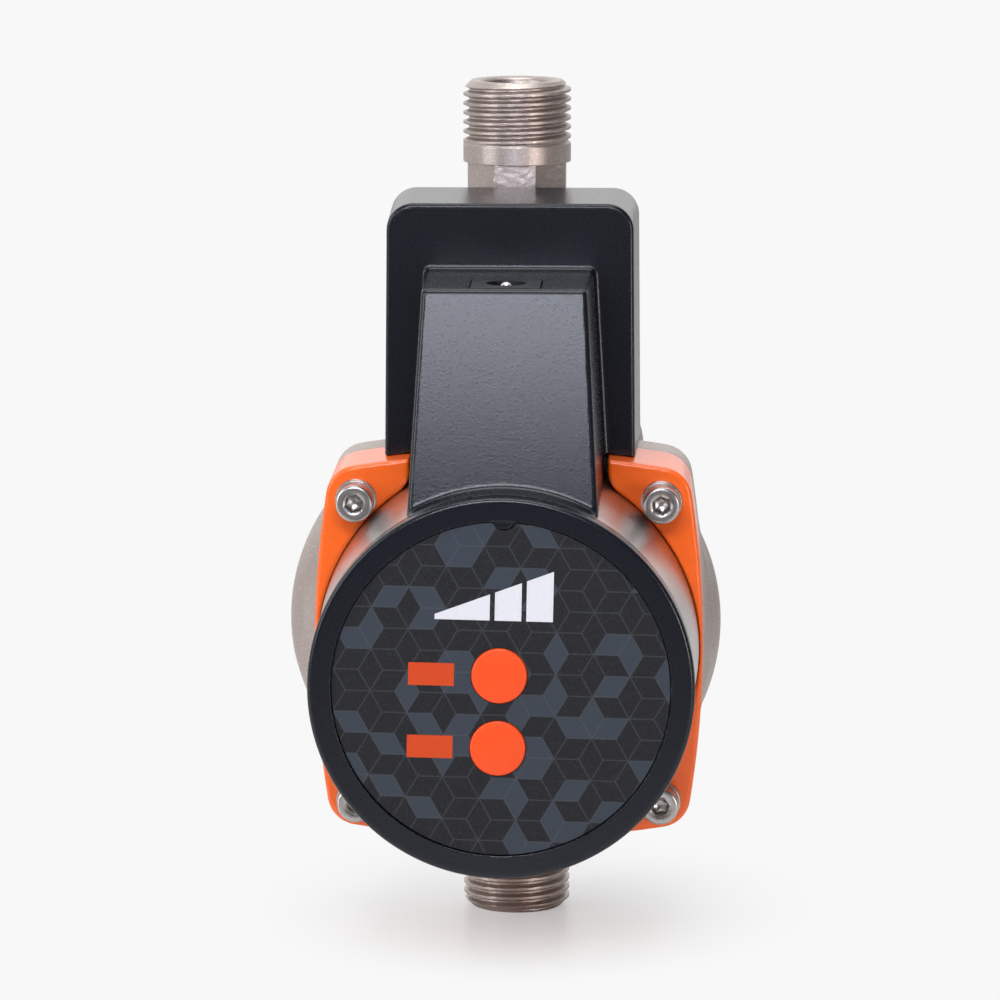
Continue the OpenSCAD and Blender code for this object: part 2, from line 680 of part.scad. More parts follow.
// The arm widens and leans forward from its top edge down to the head
arm_low = axis_h + can_bore_r - shell_t * 2;
arm_run = (arm_top - arm_low) / (arm_top - axis_h - head_r);
arm_low_front = arm_front_top + (arm_front_foot - arm_front_top) * arm_run;
arm_low_half = (arm_w + (arm_foot_w - arm_w) * arm_run) / 2;
// Corners of the arm: half width, height and depth of each, drawn in by an inset
function arm_corners(inset, back, drop) = [
    [(arm_w + arm_draft) / 2 - inset, arm_top - inset, back],
    [arm_low_half + arm_draft / 2 - inset, arm_low - drop, back],
    [arm_w / 2 - inset, arm_top - inset, arm_front_top - inset],
    [arm_low_half - inset, arm_low - drop, arm_low_front - inset]];
module arm_form() hull() for (c = arm_corners(arm_edge_r, box_front - shell_t, 0), s = [-1, 1])
    translate([s * c[0], c[1], c[2]]) sphere(r = arm_edge_r, $fn = 20);
module arm_hollow() hull() for (c = arm_corners(shell_t, box_front - 2 * shell_t, shell_t), s = [-1, 1])
    translate([s * c[0], c[2] < box_front ? max(c[1], floor_low) : c[1], c[2]])
        cube([sheet_t, sheet_t, sheet_t], center = true);

// The arm's foot sweeps round the can and runs out into the head's rim
foot_fillet_r = rim_back - arm_front_foot;
module arm_foot() intersection() {
    rotate_extrude($fn = 180) polygon(concat([[can_front_r, arm_front_foot - shell_t],
        [head_r + foot_fillet_r, arm_front_foot - shell_t]],
        arc(head_r + foot_fillet_r, arm_front_foot + foot_fillet_r, foot_fillet_r, 270, 180, corner_steps),
        [[head_r - flange_edge, rim_back + flange_edge], [can_front_r, rim_back + flange_edge]]));
    translate([-arm_foot_w / 2, 0, 0])
        cube([arm_foot_w, head_r + foot_fillet_r, rim_front]);
}

// The control head: a rim with a rounded front edge, a panel seat and a spigot in the can
rim_edge_r = 0.9;
panel_seat_t = 1.5;
rim_ledge_r = panel_r - panel_seat_t;
module head_form() rotate_extrude($fn = 180) polygon(concat(
    [[rim_ledge_r, rim_back - spigot_len], [recess_r - slip, rim_back - spigot_len],
        [recess_r - slip, rim_back], [head_r - flange_edge, rim_back],
        [head_r, rim_back + flange_edge]],
    arc(head_r - rim_edge_r, rim_front - rim_edge_r, rim_edge_r, 0, 90, corner_steps),
    [[panel_r + slip, rim_front], [panel_r + slip, carrier_back], [rim_ledge_r, carrier_back]]));

// Half round tab of the rim that keys the panel
tab_r = 2.2;
tab_reach = 1.5;
module panel_tab(grow) rotate(-panel_turn) translate([0, panel_r + tab_r - tab_reach, carrier_back])
    cylinder(r = tab_r + grow, h = rim_front - carrier_back - panel_recess / 2);

post_r = 2.7;
post_screw_r = 1.1;
post_inset = 4.2;
post_sink = 0.4;
module at_posts() facing() for (s = [-1, 1],
        h = [floor_h + post_r - post_sink, box_top - shell_t - post_r + post_sink])
    translate([s * (box_w / 2 - post_inset), h, 0]) children();
pillar_r = 1.9;
pillar_x = box_w / 2 - shell_t - pillar_r / 2;
pillar_h = (floor_h + box_top) / 2;
board_gap = 5;
board_rear = box_rear + shell_t + board_gap;
insert_w = 12.8;
insert_depth = 12.2;
insert_t = 1.6;
insert_rim = 0.8;
insert_back = jack_depth - jack_hole_r - insert_rim;
socket_half = 4.6;
socket_floor = 2.4;
socket_low = arm_top - insert_t - jack_bore_len - socket_floor;

// Space kept clear of the can by the housing
module can_clearance() on_axis() {
    translate([0, 0, casing_front]) cylinder(r = can_r + slip, $fn = 180,
        h = housing_front + flange_edge + slip - casing_front);
    translate([0, 0, housing_front + flange_edge]) cylinder(r1 = can_r + slip, r2 = can_front_r + slip,
        h = can_front - 2 * flange_edge - housing_front, $fn = 180);
    translate([0, 0, can_front - 2 * flange_edge]) cylinder(r = can_front_r + slip,
        h = rim_back - can_front + 2 * flange_edge, $fn = 180);
}

module control_housing() color([0.13, 0.14, 0.16]) difference() {
    union() {
        difference() {
            union() {
                difference() {
                    facing() box_form();
                    on_axis() linear_extrude(housing_front + near_gap) polygon(flange_points(slip));
                    on_axis() linear_extrude(step_back - shell_t) polygon(spiral_points(-slip));
                    facing() box_hollow(box_rear - over, rear_half, floor_h);
                    facing() box_hollow(step_back, box_w / 2, floor_low);
                }
                facing() arm_form();
                on_axis() arm_foot();
            }
            facing() arm_hollow();
            can_clearance();
        }
        at_posts() translate([0, 0, box_rear + shell_t]) cylinder(r = post_r, h = box_depth - 3 * shell_t / 2);
        facing() for (s = [-1, 1]) translate([s * pillar_x, pillar_h, board_rear + board_t])
            cylinder(r = pillar_r, h = box_front - shell_t / 2 - board_rear - board_t);
        on_axis() head_form();
        on_axis() panel_tab(0);
    }
    at_posts() translate([0, 0, box_rear + shell_t - over])
        cylinder(r = post_screw_r, h = cover_screw_len);
    facing() translate([-insert_w / 2, arm_top - insert_t, insert_back])
        cube([insert_w, insert_t + over, insert_depth]);
    facing() translate([-socket_half - slip, arm_top - 2 * shell_t, jack_depth - socket_half - slip])
        cube([2 * (socket_half + slip), 2 * shell_t, 2 * (socket_half + slip)]);
}

cover_screw_len = 12;
cover_head_r = 2.1;
cover_head_h = 1.2;
module box_cover() color([0.11, 0.12, 0.13]) difference() {
    facing() translate([0, 0, box_rear]) linear_extrude(shell_t)
        polygon(box_points(rear_half, floor_h + near_gap, shell_t + near_gap));
    at_posts() translate([0, 0, box_rear - over]) {
        cylinder(r = post_screw_r, h = shell_t + 2 * over);
        cylinder(r = cover_head_r + slip, h = cover_head_h + over);
    }
    at_brackets() translate([0, 0, box_rear - over]) cylinder(r = bracket_screw_r, h = shell_t + 2 * over);
}

cross_w = 0.6;
cross_half = 1.3;
module cover_screws() color([0.6, 0.6, 0.62]) at_posts() difference() {
    union() {
        translate([0, 0, box_rear]) cylinder(r = cover_head_r, h = cover_head_h);
        translate([0, 0, box_rear]) cylinder(r = post_screw_r, h = cover_screw_len);
    }
    for (turn = [0, 90]) rotate(turn) translate([-cross_half, -cross_w / 2, box_rear - over])
        cube([2 * cross_half, cross_w, over + cover_head_h / 2]);
}

module bracket_screws() color([0.7, 0.7, 0.72]) at_brackets() difference() {
    union() {
        translate([0, 0, box_rear + shell_t]) cylinder(r = bracket_head_r, h = bracket_head_h);
        translate([0, 0, box_rear + shell_t - bracket_screw_len + near_gap])
            cylinder(r = bracket_screw_r, h = bracket_screw_len - near_gap);
    }
    for (turn = [0, 90]) rotate(turn)
        translate([-cross_half, -cross_w / 2, box_rear + shell_t + bracket_head_h / 2])
        cube([2 * cross_half, cross_w, bracket_head_h]);
}

// The board fills the box between its corner posts
board_margin = 0.6;
board_half = box_w / 2 - shell_t - board_margin;
board_low = floor_h + board_margin;
board_high = box_top - shell_t - board_margin;
post_clear = 2 * post_r + board_margin;
module control_board() color([0.1, 0.35, 0.2]) facing() translate([0, 0, board_rear])
    linear_extrude(board_t) {
        translate([-board_half, floor_h + post_clear])
            square([2 * board_half, box_top - shell_t - floor_h - 2 * post_clear]);
        translate([post_inset + post_r + board_margin - box_w / 2, board_low])
            square([box_w - 2 * (post_inset + post_r + board_margin), board_high - board_low]);
    }

capacitor_r = 4.5;
capacitor_len = 12;
capacitor_x = 10;
capacitor_h = 7;
plug_len = 3;
lead_h = socket_low - 2 * plug_len;
lead_t = 1;
module board_capacitors() color([0.2, 0.22, 0.35]) facing() for (s = [-1, 1])
    translate([s * capacitor_x, floor_h + capacitor_h, board_rear + board_t]) {
        cylinder(r = capacitor_r, h = capacitor_len - over);
        cylinder(r = capacitor_r - over, h = capacitor_len);
    }

sensor_w = 4.2;
sensor_t = 1.6;
sensor_len = 3.2;
leg_w = 0.5;
module flow_sensor() color([0.15, 0.15, 0.15]) facing() {
    translate([-sensor_w / 2, bracket_h - sensor_len / 2, box_rear + shell_t])
        cube([sensor_w, sensor_len, sensor_t]);
    for (i = [-1:1]) translate([i * sensor_w / 3 - leg_w / 2, bracket_h - leg_w / 2, box_rear + shell_t])
        cube([leg_w, leg_w, board_rear - box_rear - shell_t]);
}

// Flat lead from the control board through the arm to the back of the display board
lead_path = [[board_rear + board_t, floor_h + plug_len], [box_front + plug_len, floor_h + plug_len],
    [jack_depth - socket_half - plug_len, lead_h], [jack_depth + plug_len, lead_h - plug_len],
    [recess_floor + plug_len / 2, axis_h + can_front_r + plug_len],
    [recess_floor + plug_len / 2, axis_h + recess_r - 2 * plug_len],
    [board_back - lead_t / 2, axis_h + recess_r - 3 * plug_len]];
module board_lead() color([0.85, 0.85, 0.82]) {
    translate([-lead_half, 0, 0]) rotate([90, 0, 90]) linear_extrude(2 * lead_half) intersection() {
        for (i = [0:len(lead_path) - 2]) hull() for (p = [lead_path[i], lead_path[i + 1]])
            translate([-p[0], p[1]]) circle(r = lead_t / 2, $fn = 16);
        translate([-board_back, 0]) square([board_back - board_rear - board_t, port_span]);
    }
}

module display_board() color([0.1, 0.35, 0.2]) on_axis()
    translate([0, 0, board_back]) cylinder(r = recess_r - slip, h = board_t);

module on_panel() on_axis() rotate(-panel_turn) children();
module at_buttons() for (y = [button_y, button_y - button_pitch]) translate([button_x, y, 0]) children();

board_front = board_back + board_t;
switch_half = 3;
switch_h = 1.5;
plunger_h = 0.5;
stem_r = 1.6;
module panel_switches() color([0.2, 0.2, 0.2]) on_panel() at_buttons()
    translate([0, 0, board_front]) {
        translate([-switch_half, -switch_half, 0]) cube([2 * switch_half, 2 * switch_half, switch_h]);
        cylinder(r = stem_r, h = switch_h + plunger_h);
    }

button_gap = 0.12;
module lamp_outline() square([lamp_w, lamp_h], center = true);
module at_lamps() for (y = [button_y, button_y - button_pitch])
    translate([button_x - lamp_pitch, y, 0]) children();

// Three bars under one slanted line: a long wedge and two upright bars
bar_starts = [0, wedge_w + bar_gap, wedge_w + bar_w + 2 * bar_gap];
bar_widths = [wedge_w, bar_w, bar_w];
wedge_tip = 0.95;
module bar_outlines() translate([bars_x, bars_y]) for (i = [0:2])
    let (x0 = bar_starts[i], x1 = bar_starts[i] + bar_widths[i])
    polygon([[x0, 0], [x1, 0], [x1, wedge_tip + bars_slope * x1], [x0, wedge_tip + bars_slope * x0]]);

module panel_sheet(r, thickness) difference() {
    cylinder(r = r, h = thickness, $fn = 180);
    translate([0, 0, -over]) {
        at_buttons() cylinder(r = button_r + button_gap, h = thickness + 2 * over);
        linear_extrude(thickness + 2 * over) {
            at_lamps() lamp_outline();
            bar_outlines();
        }
        translate([0, panel_r + tab_r - tab_reach, 0])
            cylinder(r = tab_r + slip, h = thickness + 2 * over);
    }
}

module panel_carrier() color([0.16, 0.16, 0.17]) on_panel() translate([0, 0, carrier_back])
    panel_sheet(panel_r, carrier_t);

module panel_film() color([0.2, 0.2, 0.22]) on_panel() translate([0, 0, carrier_front])
    panel_sheet(panel_r - slip, film_t);

// A button: stem, retaining flange behind the carrier and a domed face
button_flange_w = 1;
button_flange_t = 1.2;
button_edge = 0.3;
dome_steps = 8;
dome_r = ((button_r - button_edge) * (button_r - button_edge) + button_dome * button_dome)
    / (2 * button_dome);
flange_front = carrier_back - near_gap;
stem_low = board_front + switch_h + plunger_h + button_travel + slip;
module button_form() rotate_extrude() polygon(concat(
    [[0, stem_low], [stem_r, stem_low], [stem_r, flange_front - button_flange_t],
        [button_r + button_flange_w, flange_front - button_flange_t],
        [button_r + button_flange_w, flange_front], [button_r, flange_front],
        [button_r, film_front + button_proud - button_edge]],
    [for (i = [0:dome_steps]) let (r = (button_r - button_edge) * (1 - i / dome_steps))
        [r, film_front + button_proud + sqrt(dome_r * dome_r - r * r) - dome_r + button_dome]]));
module upper_button() color([1, 0.36, 0.05]) on_panel() translate([button_x, button_y, 0]) button_form();
module lower_button() color([1, 0.36, 0.05]) on_panel()
    translate([button_x, button_y - button_pitch, 0]) button_form();

module indicator_lamps() color([1, 0.36, 0.05]) on_panel() at_lamps()
    translate([0, 0, carrier_back]) linear_extrude(film_front - carrier_back) lamp_outline();

module level_bars() color([0.95, 0.95, 0.95]) on_panel()
    translate([0, 0, carrier_back]) linear_extrude(film_front - carrier_back) bar_outlines();

// Power socket: an insert flush with the arm's top, the socket's body below it and its pin
pin_drop = 1;
module socket_insert() color([0.09, 0.09, 0.1]) difference() {
    facing() translate([-insert_w / 2, arm_top - insert_t, insert_back])
        cube([insert_w, insert_t, insert_depth]);
    translate([0, -jack_depth, arm_top - insert_t - over]) cylinder(r = jack_hole_r, h = insert_t + 2 * over);
}

module socket_body() color([0.07, 0.07, 0.08]) difference() {
    translate([-socket_half, -jack_depth - socket_half, socket_low])
        cube([2 * socket_half, 2 * socket_half, jack_bore_len + socket_floor]);
    translate([0, -jack_depth, arm_top - insert_t - jack_bore_len])
        cylinder(r = jack_bore_r, h = jack_bore_len + over);
}

// Two stiff leads from the socket's back to the control board
power_lead_r = 0.8;
power_lead_x = 2.5;
module power_leads() color([0.8, 0.2, 0.15]) facing() for (s = [-1, 1])
    translate([s * power_lead_x, socket_low + socket_floor, board_rear + board_t])
    cylinder(r = power_lead_r, h = jack_depth - socket_half - board_rear - board_t);

module socket_pin() color([0.85, 0.85, 0.85])
    translate([0, -jack_depth, arm_top - insert_t - jack_bore_len]) {
        cylinder(r = jack_pin_r, h = jack_bore_len + insert_t - pin_drop - jack_pin_r / 2);
        translate([0, 0, jack_bore_len + insert_t - pin_drop - jack_pin_r / 2])
            cylinder(r1 = jack_pin_r, r2 = jack_pin_r / 2, h = jack_pin_r / 2);
    }

// Flow switch: a magnet float between a seat ring and a stop ring in the outlet way
seat_t = 3;
seat_bore_r = 4.4;
stop_t = 1.6;
float_r = 5.3;
float_nose = 1.2;
fin_r = way_r - near_gap;
fin_w = 1.2;
float_magnet_r = 3.4;
float_magnet_len = 6;
float_low = seat_h + seat_t + slip;
module float_seat() color([0.2, 0.2, 0.22]) ring(seat_bore_r, way_r, seat_h, seat_h + seat_t);

module flow_float() color([0.85, 0.85, 0.82]) translate([0, 0, float_low]) difference() {
    union() {
        rotate_extrude() polygon([[0, 0], [float_r, 0], [float_r, float_len - float_nose],
            [float_r - float_nose, float_len], [0, float_len]]);
        for (i = [0:3]) rotate(90 * i + 45) translate([0, -fin_w / 2, 0])
            cube([fin_r, fin_w, float_len - 2 * float_nose]);
    }
    translate([0, 0, -over]) cylinder(r = float_magnet_r, h = float_magnet_len + over);
}

module float_magnet() color([0.35, 0.35, 0.37]) translate([0, 0, float_low])
    cylinder(r = float_magnet_r, h = float_magnet_len);

module float_stop() color([0.2, 0.2, 0.22])
    ring(seat_bore_r, way_r, float_low + float_len + float_travel + slip,
        float_low + float_len + float_travel + slip + stop_t);

pump_casing();
inlet_port();
outlet_port();
casing_ring_seal();
bearing_plate();
pump_side_bearing();
motor_end_bearing();
thrust_washers();
rotor_cup();
motor_flange();
motor_can();
stator_core();
stator_coils();
rotor_shaft();
rotor_magnet();
impeller();
impeller_shroud();
impeller_nut();
cap_screws();
spring_washers();
flat_washers();
control_housing();
box_cover();
cover_screws();
bracket_screws();
control_board();
board_capacitors();
flow_sensor();
board_lead();
display_board();
panel_switches();
panel_carrier();
panel_film();
upper_button();
lower_button();
indicator_lamps();
level_bars();
socket_body();
socket_pin();
socket_insert();
float_seat();
flow_float();
float_magnet();
float_stop();
motor_leads();
power_leads();
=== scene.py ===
"""Looks of an inline shower booster pump, dressed round its solids.

Lengths in this file are millimetres until a mesh is made, which is in metres. The frame is that of
the solids: +Z up the pipe, -Y towards the control panel. Depth is the distance in front of the pipe
axis, so depth = -Y. Turns about the motor axis are clockwise from straight up, seen from the panel.
"""

import logging
import math
from dataclasses import dataclass
from enum import Enum
from functools import partialmethod, reduce
from typing import Callable, Sequence

import bpy
import numpy as np
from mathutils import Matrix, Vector

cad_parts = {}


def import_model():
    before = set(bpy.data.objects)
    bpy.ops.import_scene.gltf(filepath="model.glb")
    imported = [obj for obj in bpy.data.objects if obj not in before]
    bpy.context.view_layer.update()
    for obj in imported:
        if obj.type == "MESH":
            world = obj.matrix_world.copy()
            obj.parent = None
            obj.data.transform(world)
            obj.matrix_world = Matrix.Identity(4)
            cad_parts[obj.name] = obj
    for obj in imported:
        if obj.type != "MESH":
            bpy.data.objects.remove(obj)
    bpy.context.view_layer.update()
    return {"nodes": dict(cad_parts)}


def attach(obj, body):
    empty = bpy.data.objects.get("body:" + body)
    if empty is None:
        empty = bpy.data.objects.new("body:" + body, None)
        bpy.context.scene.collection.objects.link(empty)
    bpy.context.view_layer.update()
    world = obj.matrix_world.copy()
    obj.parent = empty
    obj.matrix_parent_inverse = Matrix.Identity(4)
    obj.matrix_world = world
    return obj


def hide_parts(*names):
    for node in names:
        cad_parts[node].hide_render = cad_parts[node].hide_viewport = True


LOG = logging.getLogger("shower_pump")
Array = np.ndarray
Values = Array | float
Field = Callable[[Array, Array, Array], Array]
Object = bpy.types.Object
Socket = bpy.types.NodeSocket
Pair = tuple[float, float]
Triple = tuple[float, float, float]

MM = 0.001
# Height of the motor axis, and how far below it the flange's screws and its outline are centred
AXIS_H = 60.7
FLANGE_DROP = 0.6
OUTLINE_DROP = 0.1
# Length of the pipe, and how far from each end face the casting's own skin starts
PORT_SPAN = 164.0
END_GAP = 13.2
# Depth of the casting's machined face, depth of the panel's face, and the panel's clockwise turn
CASTING_FACE = 27.0
PANEL_FACE = 87.2
PANEL_TURN = math.radians(1.2)
# Farther than any two things here are apart
FAR = 99.0


# Shader writing


class Num:
    """A number socket of a node tree that does arithmetic by adding Math nodes."""

    def __init__(self, tree: "Tree", socket: Socket) -> None:
        """Wraps a socket of the tree."""
        self.tree, self.socket = tree, socket

    def _do(self, operation: str, *others: object) -> "Num":
        """Adds one Math node on this and the others and returns its result."""
        values = dict(enumerate((self, *others)))
        return Num(self.tree, self.tree.add("ShaderNodeMath", {"operation": operation}, values).outputs[0])

    # Each name stands for the Math node that it adds
    __add__ = __radd__ = partialmethod(_do, "ADD")
    __sub__ = partialmethod(_do, "SUBTRACT")
    __mul__ = __rmul__ = partialmethod(_do, "MULTIPLY")
    __lt__ = partialmethod(_do, "LESS_THAN")
    __gt__ = partialmethod(_do, "GREATER_THAN")
    __abs__ = partialmethod(_do, "ABSOLUTE")
    floored_mod = partialmethod(_do, "FLOORED_MODULO")
    least = partialmethod(_do, "MINIMUM")
    most = partialmethod(_do, "MAXIMUM")
    root = partialmethod(_do, "SQRT")

    def __rsub__(self, other: object) -> "Num":
        """Another number less this one."""
        return self._do("MULTIPLY_ADD", -1.0, other)

    def ramp(
        self, low: float, high: float, start: float = 0.0, end: float = 1.0, kind: str = "SMOOTHSTEP"
    ) -> "Num":
        """Change from start at low to end at high, held beyond them."""
        node = self.tree.add(
            "ShaderNodeMapRange",
            {"interpolation_type": kind},
            {"Value": self, "From Min": low, "From Max": high, "To Min": start, "To Max": end},
        )
        return Num(self.tree, node.outputs[0])


class Tree:
    """The node tree of a world or, with its surface shader, of a material."""

    def __init__(self, owner: bpy.types.ID) -> None:
        """Clears the owner's tree and gives a material's a surface shader."""
        owner.use_nodes = True
        self.nodes, self.links = owner.node_tree.nodes, owner.node_tree.links
        self.nodes.clear()
        if isinstance(owner, bpy.types.Material):
            self.bsdf = self.add("ShaderNodeBsdfPrincipled")
            self.out = self.add("ShaderNodeOutputMaterial", None, {"Surface": self.bsdf.outputs[0]})

    def add(self, kind: str, settings: dict | None = None, inputs: dict | None = None) -> bpy.types.Node:
        """Adds any node.

        Args:
            kind: the node's type.
            settings: its properties, set before its sockets.
            inputs: socket name or number to a value, a socket or a Num.

        Returns:
            The new node.
        """
        node = self.nodes.new(kind)
        for key, value in (settings or {}).items():
            setattr(node, key, value)
        for key, value in (inputs or {}).items():
            self.feed(node.inputs[key], value)
        return node

    def feed(self, socket: Socket, value: object) -> None:
        """Links a socket to another or to a Num, or sets it; a colour gets an alpha of 1."""
        value = value.socket if isinstance(value, Num) else value
        if isinstance(value, Socket):
            self.links.new(value, socket)
        else:
            socket.default_value = (*value, 1.0) if socket.type == "RGBA" else value

    def place(self, source: str = "Object") -> Socket:
        """Coordinates, those of the object unless another source is named."""
        return self.add("ShaderNodeTexCoord").outputs[source]

    def parts(self, source: str = "Object", scale: float = 1000.0) -> tuple[Num, Num, Num]:
        """Coordinates X, Y and Z, in millimetres unless the scale is changed."""
        node = self.add("ShaderNodeSeparateXYZ", None, {0: self.place(source)})
        return tuple(Num(self, node.outputs[i]) * scale for i in range(3))

    def noise(self, size: float, detail: float = 2.0, stretch: Triple = (1, 1, 1)) -> Num:
        """Noise whose grains are about size millimetres, drawn out by stretch."""
        factors = {0: self.place(), 1: tuple(1 / s for s in stretch)}
        scaled = self.add("ShaderNodeVectorMath", {"operation": "MULTIPLY"}, factors)
        inputs = {"Vector": scaled.outputs[0], "Scale": 1000.0 / size, "Detail": detail}
        return Num(self, self.add("ShaderNodeTexNoise", None, inputs).outputs["Fac"])

    def mix(self, share: Num, low: object, high: object) -> Socket:
        """Colour between low and high, each a colour or a socket, by share."""
        return self.add("ShaderNodeMix", {"data_type": "RGBA"}, {0: share, 6: low, 7: high}).outputs[2]

    def bump(self, height: Num, depth: float) -> None:
        """Feeds the shader's normal with a bump of depth millimetres."""
        inputs = {"Height": height, "Distance": depth * MM, "Strength": 1.0}
        self.set(Normal=self.add("ShaderNodeBump", None, inputs).outputs[0])

    def set(self, **values: object) -> None:
        """Sets or links sockets of the shader; an underscore stands for a space."""
        for key, value in values.items():
            self.feed(self.bsdf.inputs[key.replace("_", " ")], value)


# Finishes


def toned(colour: Triple, factor: float) -> Triple:
    """The colour made lighter or darker by a factor."""
    return tuple(min(1.0, c * factor) for c in colour)


@dataclass(frozen=True)
class Finish:
    """A surface finish: a colour with fine grain in its tone, roughness and height.

    Attributes:
        name: name of the material.
        colour: linear colour.
        metallic: 1 for bare metal.
        roughness: mean roughness.
        grain: size of the grain in millimetres.
        tone: how far the grain darkens the colour, 0 to 1.
        swing: how far the grain moves the roughness.
        relief: height of the grain in millimetres.
        coat: weight of a clear coat.
        stretch: how the grain is drawn out along X, Y and Z.
    """

    name: str
    colour: Triple
    metallic: float = 0.0
    roughness: float = 0.5
    grain: float = 0.6
    tone: float = 0.12
    swing: float = 0.08
    relief: float = 0.01
    coat: float = 0.0
    stretch: Triple = (1.0, 1.0, 1.0)

    def made(self) -> bpy.types.Material:
        """The material, made once."""
        name = f"look_{self.name}"
        material = bpy.data.materials.get(name)
        if not material:
            material = bpy.data.materials.new(name)
            self.dress(Tree(material))
        return material

    def dress(self, tree: Tree) -> None:
        """Writes the material's nodes."""
        grain = tree.noise(self.grain, 3.0, self.stretch)
        tree.set(
            Base_Color=tree.mix(grain.ramp(0.3, 0.7), toned(self.colour, 1 - self.tone), self.colour),
            Metallic=self.metallic,
            Roughness=grain * (2 * self.swing) + (self.roughness - self.swing),
            Coat_Weight=self.coat,
            Coat_Roughness=0.08,
        )
        tree.bump(grain, self.relief)


@dataclass(frozen=True)
class CastFinish(Finish):
    """Blasted cast stainless steel: a sparkling grain over a slow unevenness, wavier on the necks."""

    def dress(self, tree: Tree) -> None:
        """Writes the material's nodes."""
        fine, broad = tree.noise(0.32), tree.noise(5.0)
        _, _, z = tree.parts()
        middle = abs(z - PORT_SPAN / 2)
        neck = middle.ramp(56.0, 58.0) * (1 - middle.ramp(66.0, 66.4))
        sparkle = fine.ramp(0.56, 0.72)
        tree.set(
            Base_Color=tree.mix(sparkle, toned(self.colour, 0.86), toned(self.colour, 1.25)),
            Metallic=self.metallic,
            Roughness=self.roughness - sparkle * 0.16 + broad * 0.08,
        )
        tree.bump(fine + broad * 1.5 + tree.noise(1.3, 1.0) * neck * 3.5, 0.05)


@dataclass(frozen=True)
class TurnedFinish(Finish):
    """Turned metal: hair-fine grooves round the motor axis."""

    def dress(self, tree: Tree) -> None:
        """Writes the material's nodes."""
        grooves, cloud = tree.noise(1.0, 4.0, (40.0, 0.35, 40.0)), tree.noise(9.0)
        tree.set(
            Base_Color=tree.mix(cloud.ramp(0.3, 0.7), toned(self.colour, 0.93), self.colour),
            Metallic=self.metallic,
            Roughness=self.roughness + grooves * 0.1 - 0.05 + cloud * 0.05,
        )
        tree.bump(grooves, 0.004)


@dataclass(frozen=True)
class MouldedFinish(Finish):
    """Dark moulded plastic with a leathery spark-eroded grain."""

    def dress(self, tree: Tree) -> None:
        """Writes the material's nodes."""
        fine, pebble = tree.noise(0.2), tree.noise(0.42, 4.0, (1.3, 1, 1))
        speck = fine.ramp(0.58, 0.74)
        tree.set(
            Base_Color=tree.mix(speck, self.colour, toned(self.colour, 1.8)),
            Roughness=self.roughness - speck * 0.1 + pebble * 0.1 - 0.05,
            Specular_IOR_Level=0.42,
        )
        tree.bump(pebble + fine * 0.6, self.relief)


@dataclass(frozen=True)
class PanelFinish(Finish):
    """The panel's print: charcoal with fine lines of tumbling blocks, a few rhombs filled in.

    Attributes:
        edge: edge of a rhomb in millimetres.
        line: width of the lines in millimetres.
        shift: how far the pattern is moved across and up.
        bare: share of the rhombs that stay bare.
        fill: colour of a filled rhomb.
        ink: colour of the lines.
    """

    edge: float = 4.5
    line: float = 0.2
    shift: Pair = (1.3, 0.9)
    bare: float = 0.73
    fill: Triple = (0.036, 0.046, 0.062)
    ink: Triple = (0.07, 0.075, 0.085)

    def dress(self, tree: Tree) -> None:
        """Writes the material's nodes: the nearer of two offset grids gives the hexagon round a point."""
        x, _, z = tree.parts()
        c, s = math.cos(PANEL_TURN), math.sin(PANEL_TURN)
        u, v = x * c - (z - AXIS_H) * s + self.shift[0], x * s + (z - AXIS_H) * c + self.shift[1]
        wide, high = 3 * self.edge, math.sqrt(3) * self.edge
        ua, va = u.floored_mod(wide) - wide / 2, v.floored_mod(high) - high / 2
        ub, vb = (u + wide / 2).floored_mod(wide) - wide / 2, (v + high / 2).floored_mod(high) - high / 2
        near_a = (ua * ua + va * va) < (ub * ub + vb * vb)
        p, q = ua * near_a + ub * (1 - near_a), va * near_a + vb * (1 - near_a)
        hexagon = abs(q).most(abs(p) * (math.sqrt(3) / 2) + abs(q) * 0.5)
        gap = abs(hexagon - high / 2)
        sector = near_a * 0.0
        for k in range(3):
            a = math.radians(120 * k)
            along, across = p * math.cos(a) + q * math.sin(a), q * math.cos(a) - p * math.sin(a)
            gap = gap.least(abs(across) + (along < 0.0) * FAR)
            b = math.radians(120 * k + 60)
            facing, off = p * math.cos(b) + q * math.sin(b), abs(q * math.cos(b) - p * math.sin(b))
            sector = sector + (facing > off * (1 / math.sqrt(3))) * float(k + 1)
        lines = 1 - gap.ramp(self.line * 0.35, self.line * 0.8)
        column, row = (u - p) * (2 / wide) + 0.5, (v - q) * (2 / high) + 0.5
        cell = tree.add("ShaderNodeCombineXYZ", None, {0: column, 1: row, 2: sector + 0.5})
        whole = tree.add("ShaderNodeVectorMath", {"operation": "FLOOR"}, {0: cell.outputs[0]})
        dice = tree.add("ShaderNodeTexWhiteNoise", {"noise_dimensions": "3D"}, {"Vector": whole.outputs[0]})
        filled = Num(tree, dice.outputs["Value"]) > self.bare
        fine = tree.noise(0.22)
        speck = fine.ramp(0.55, 0.72)
        ground = tree.mix(speck, self.colour, toned(self.colour, 3.2))
        shade = tree.mix(filled * 0.85, ground, self.fill)
        tree.set(
            Base_Color=tree.mix(lines * 0.35, shade, self.ink),
            Roughness=self.roughness + speck * 0.06,
            Specular_IOR_Level=0.28,
        )
        tree.bump(fine, 0.008)


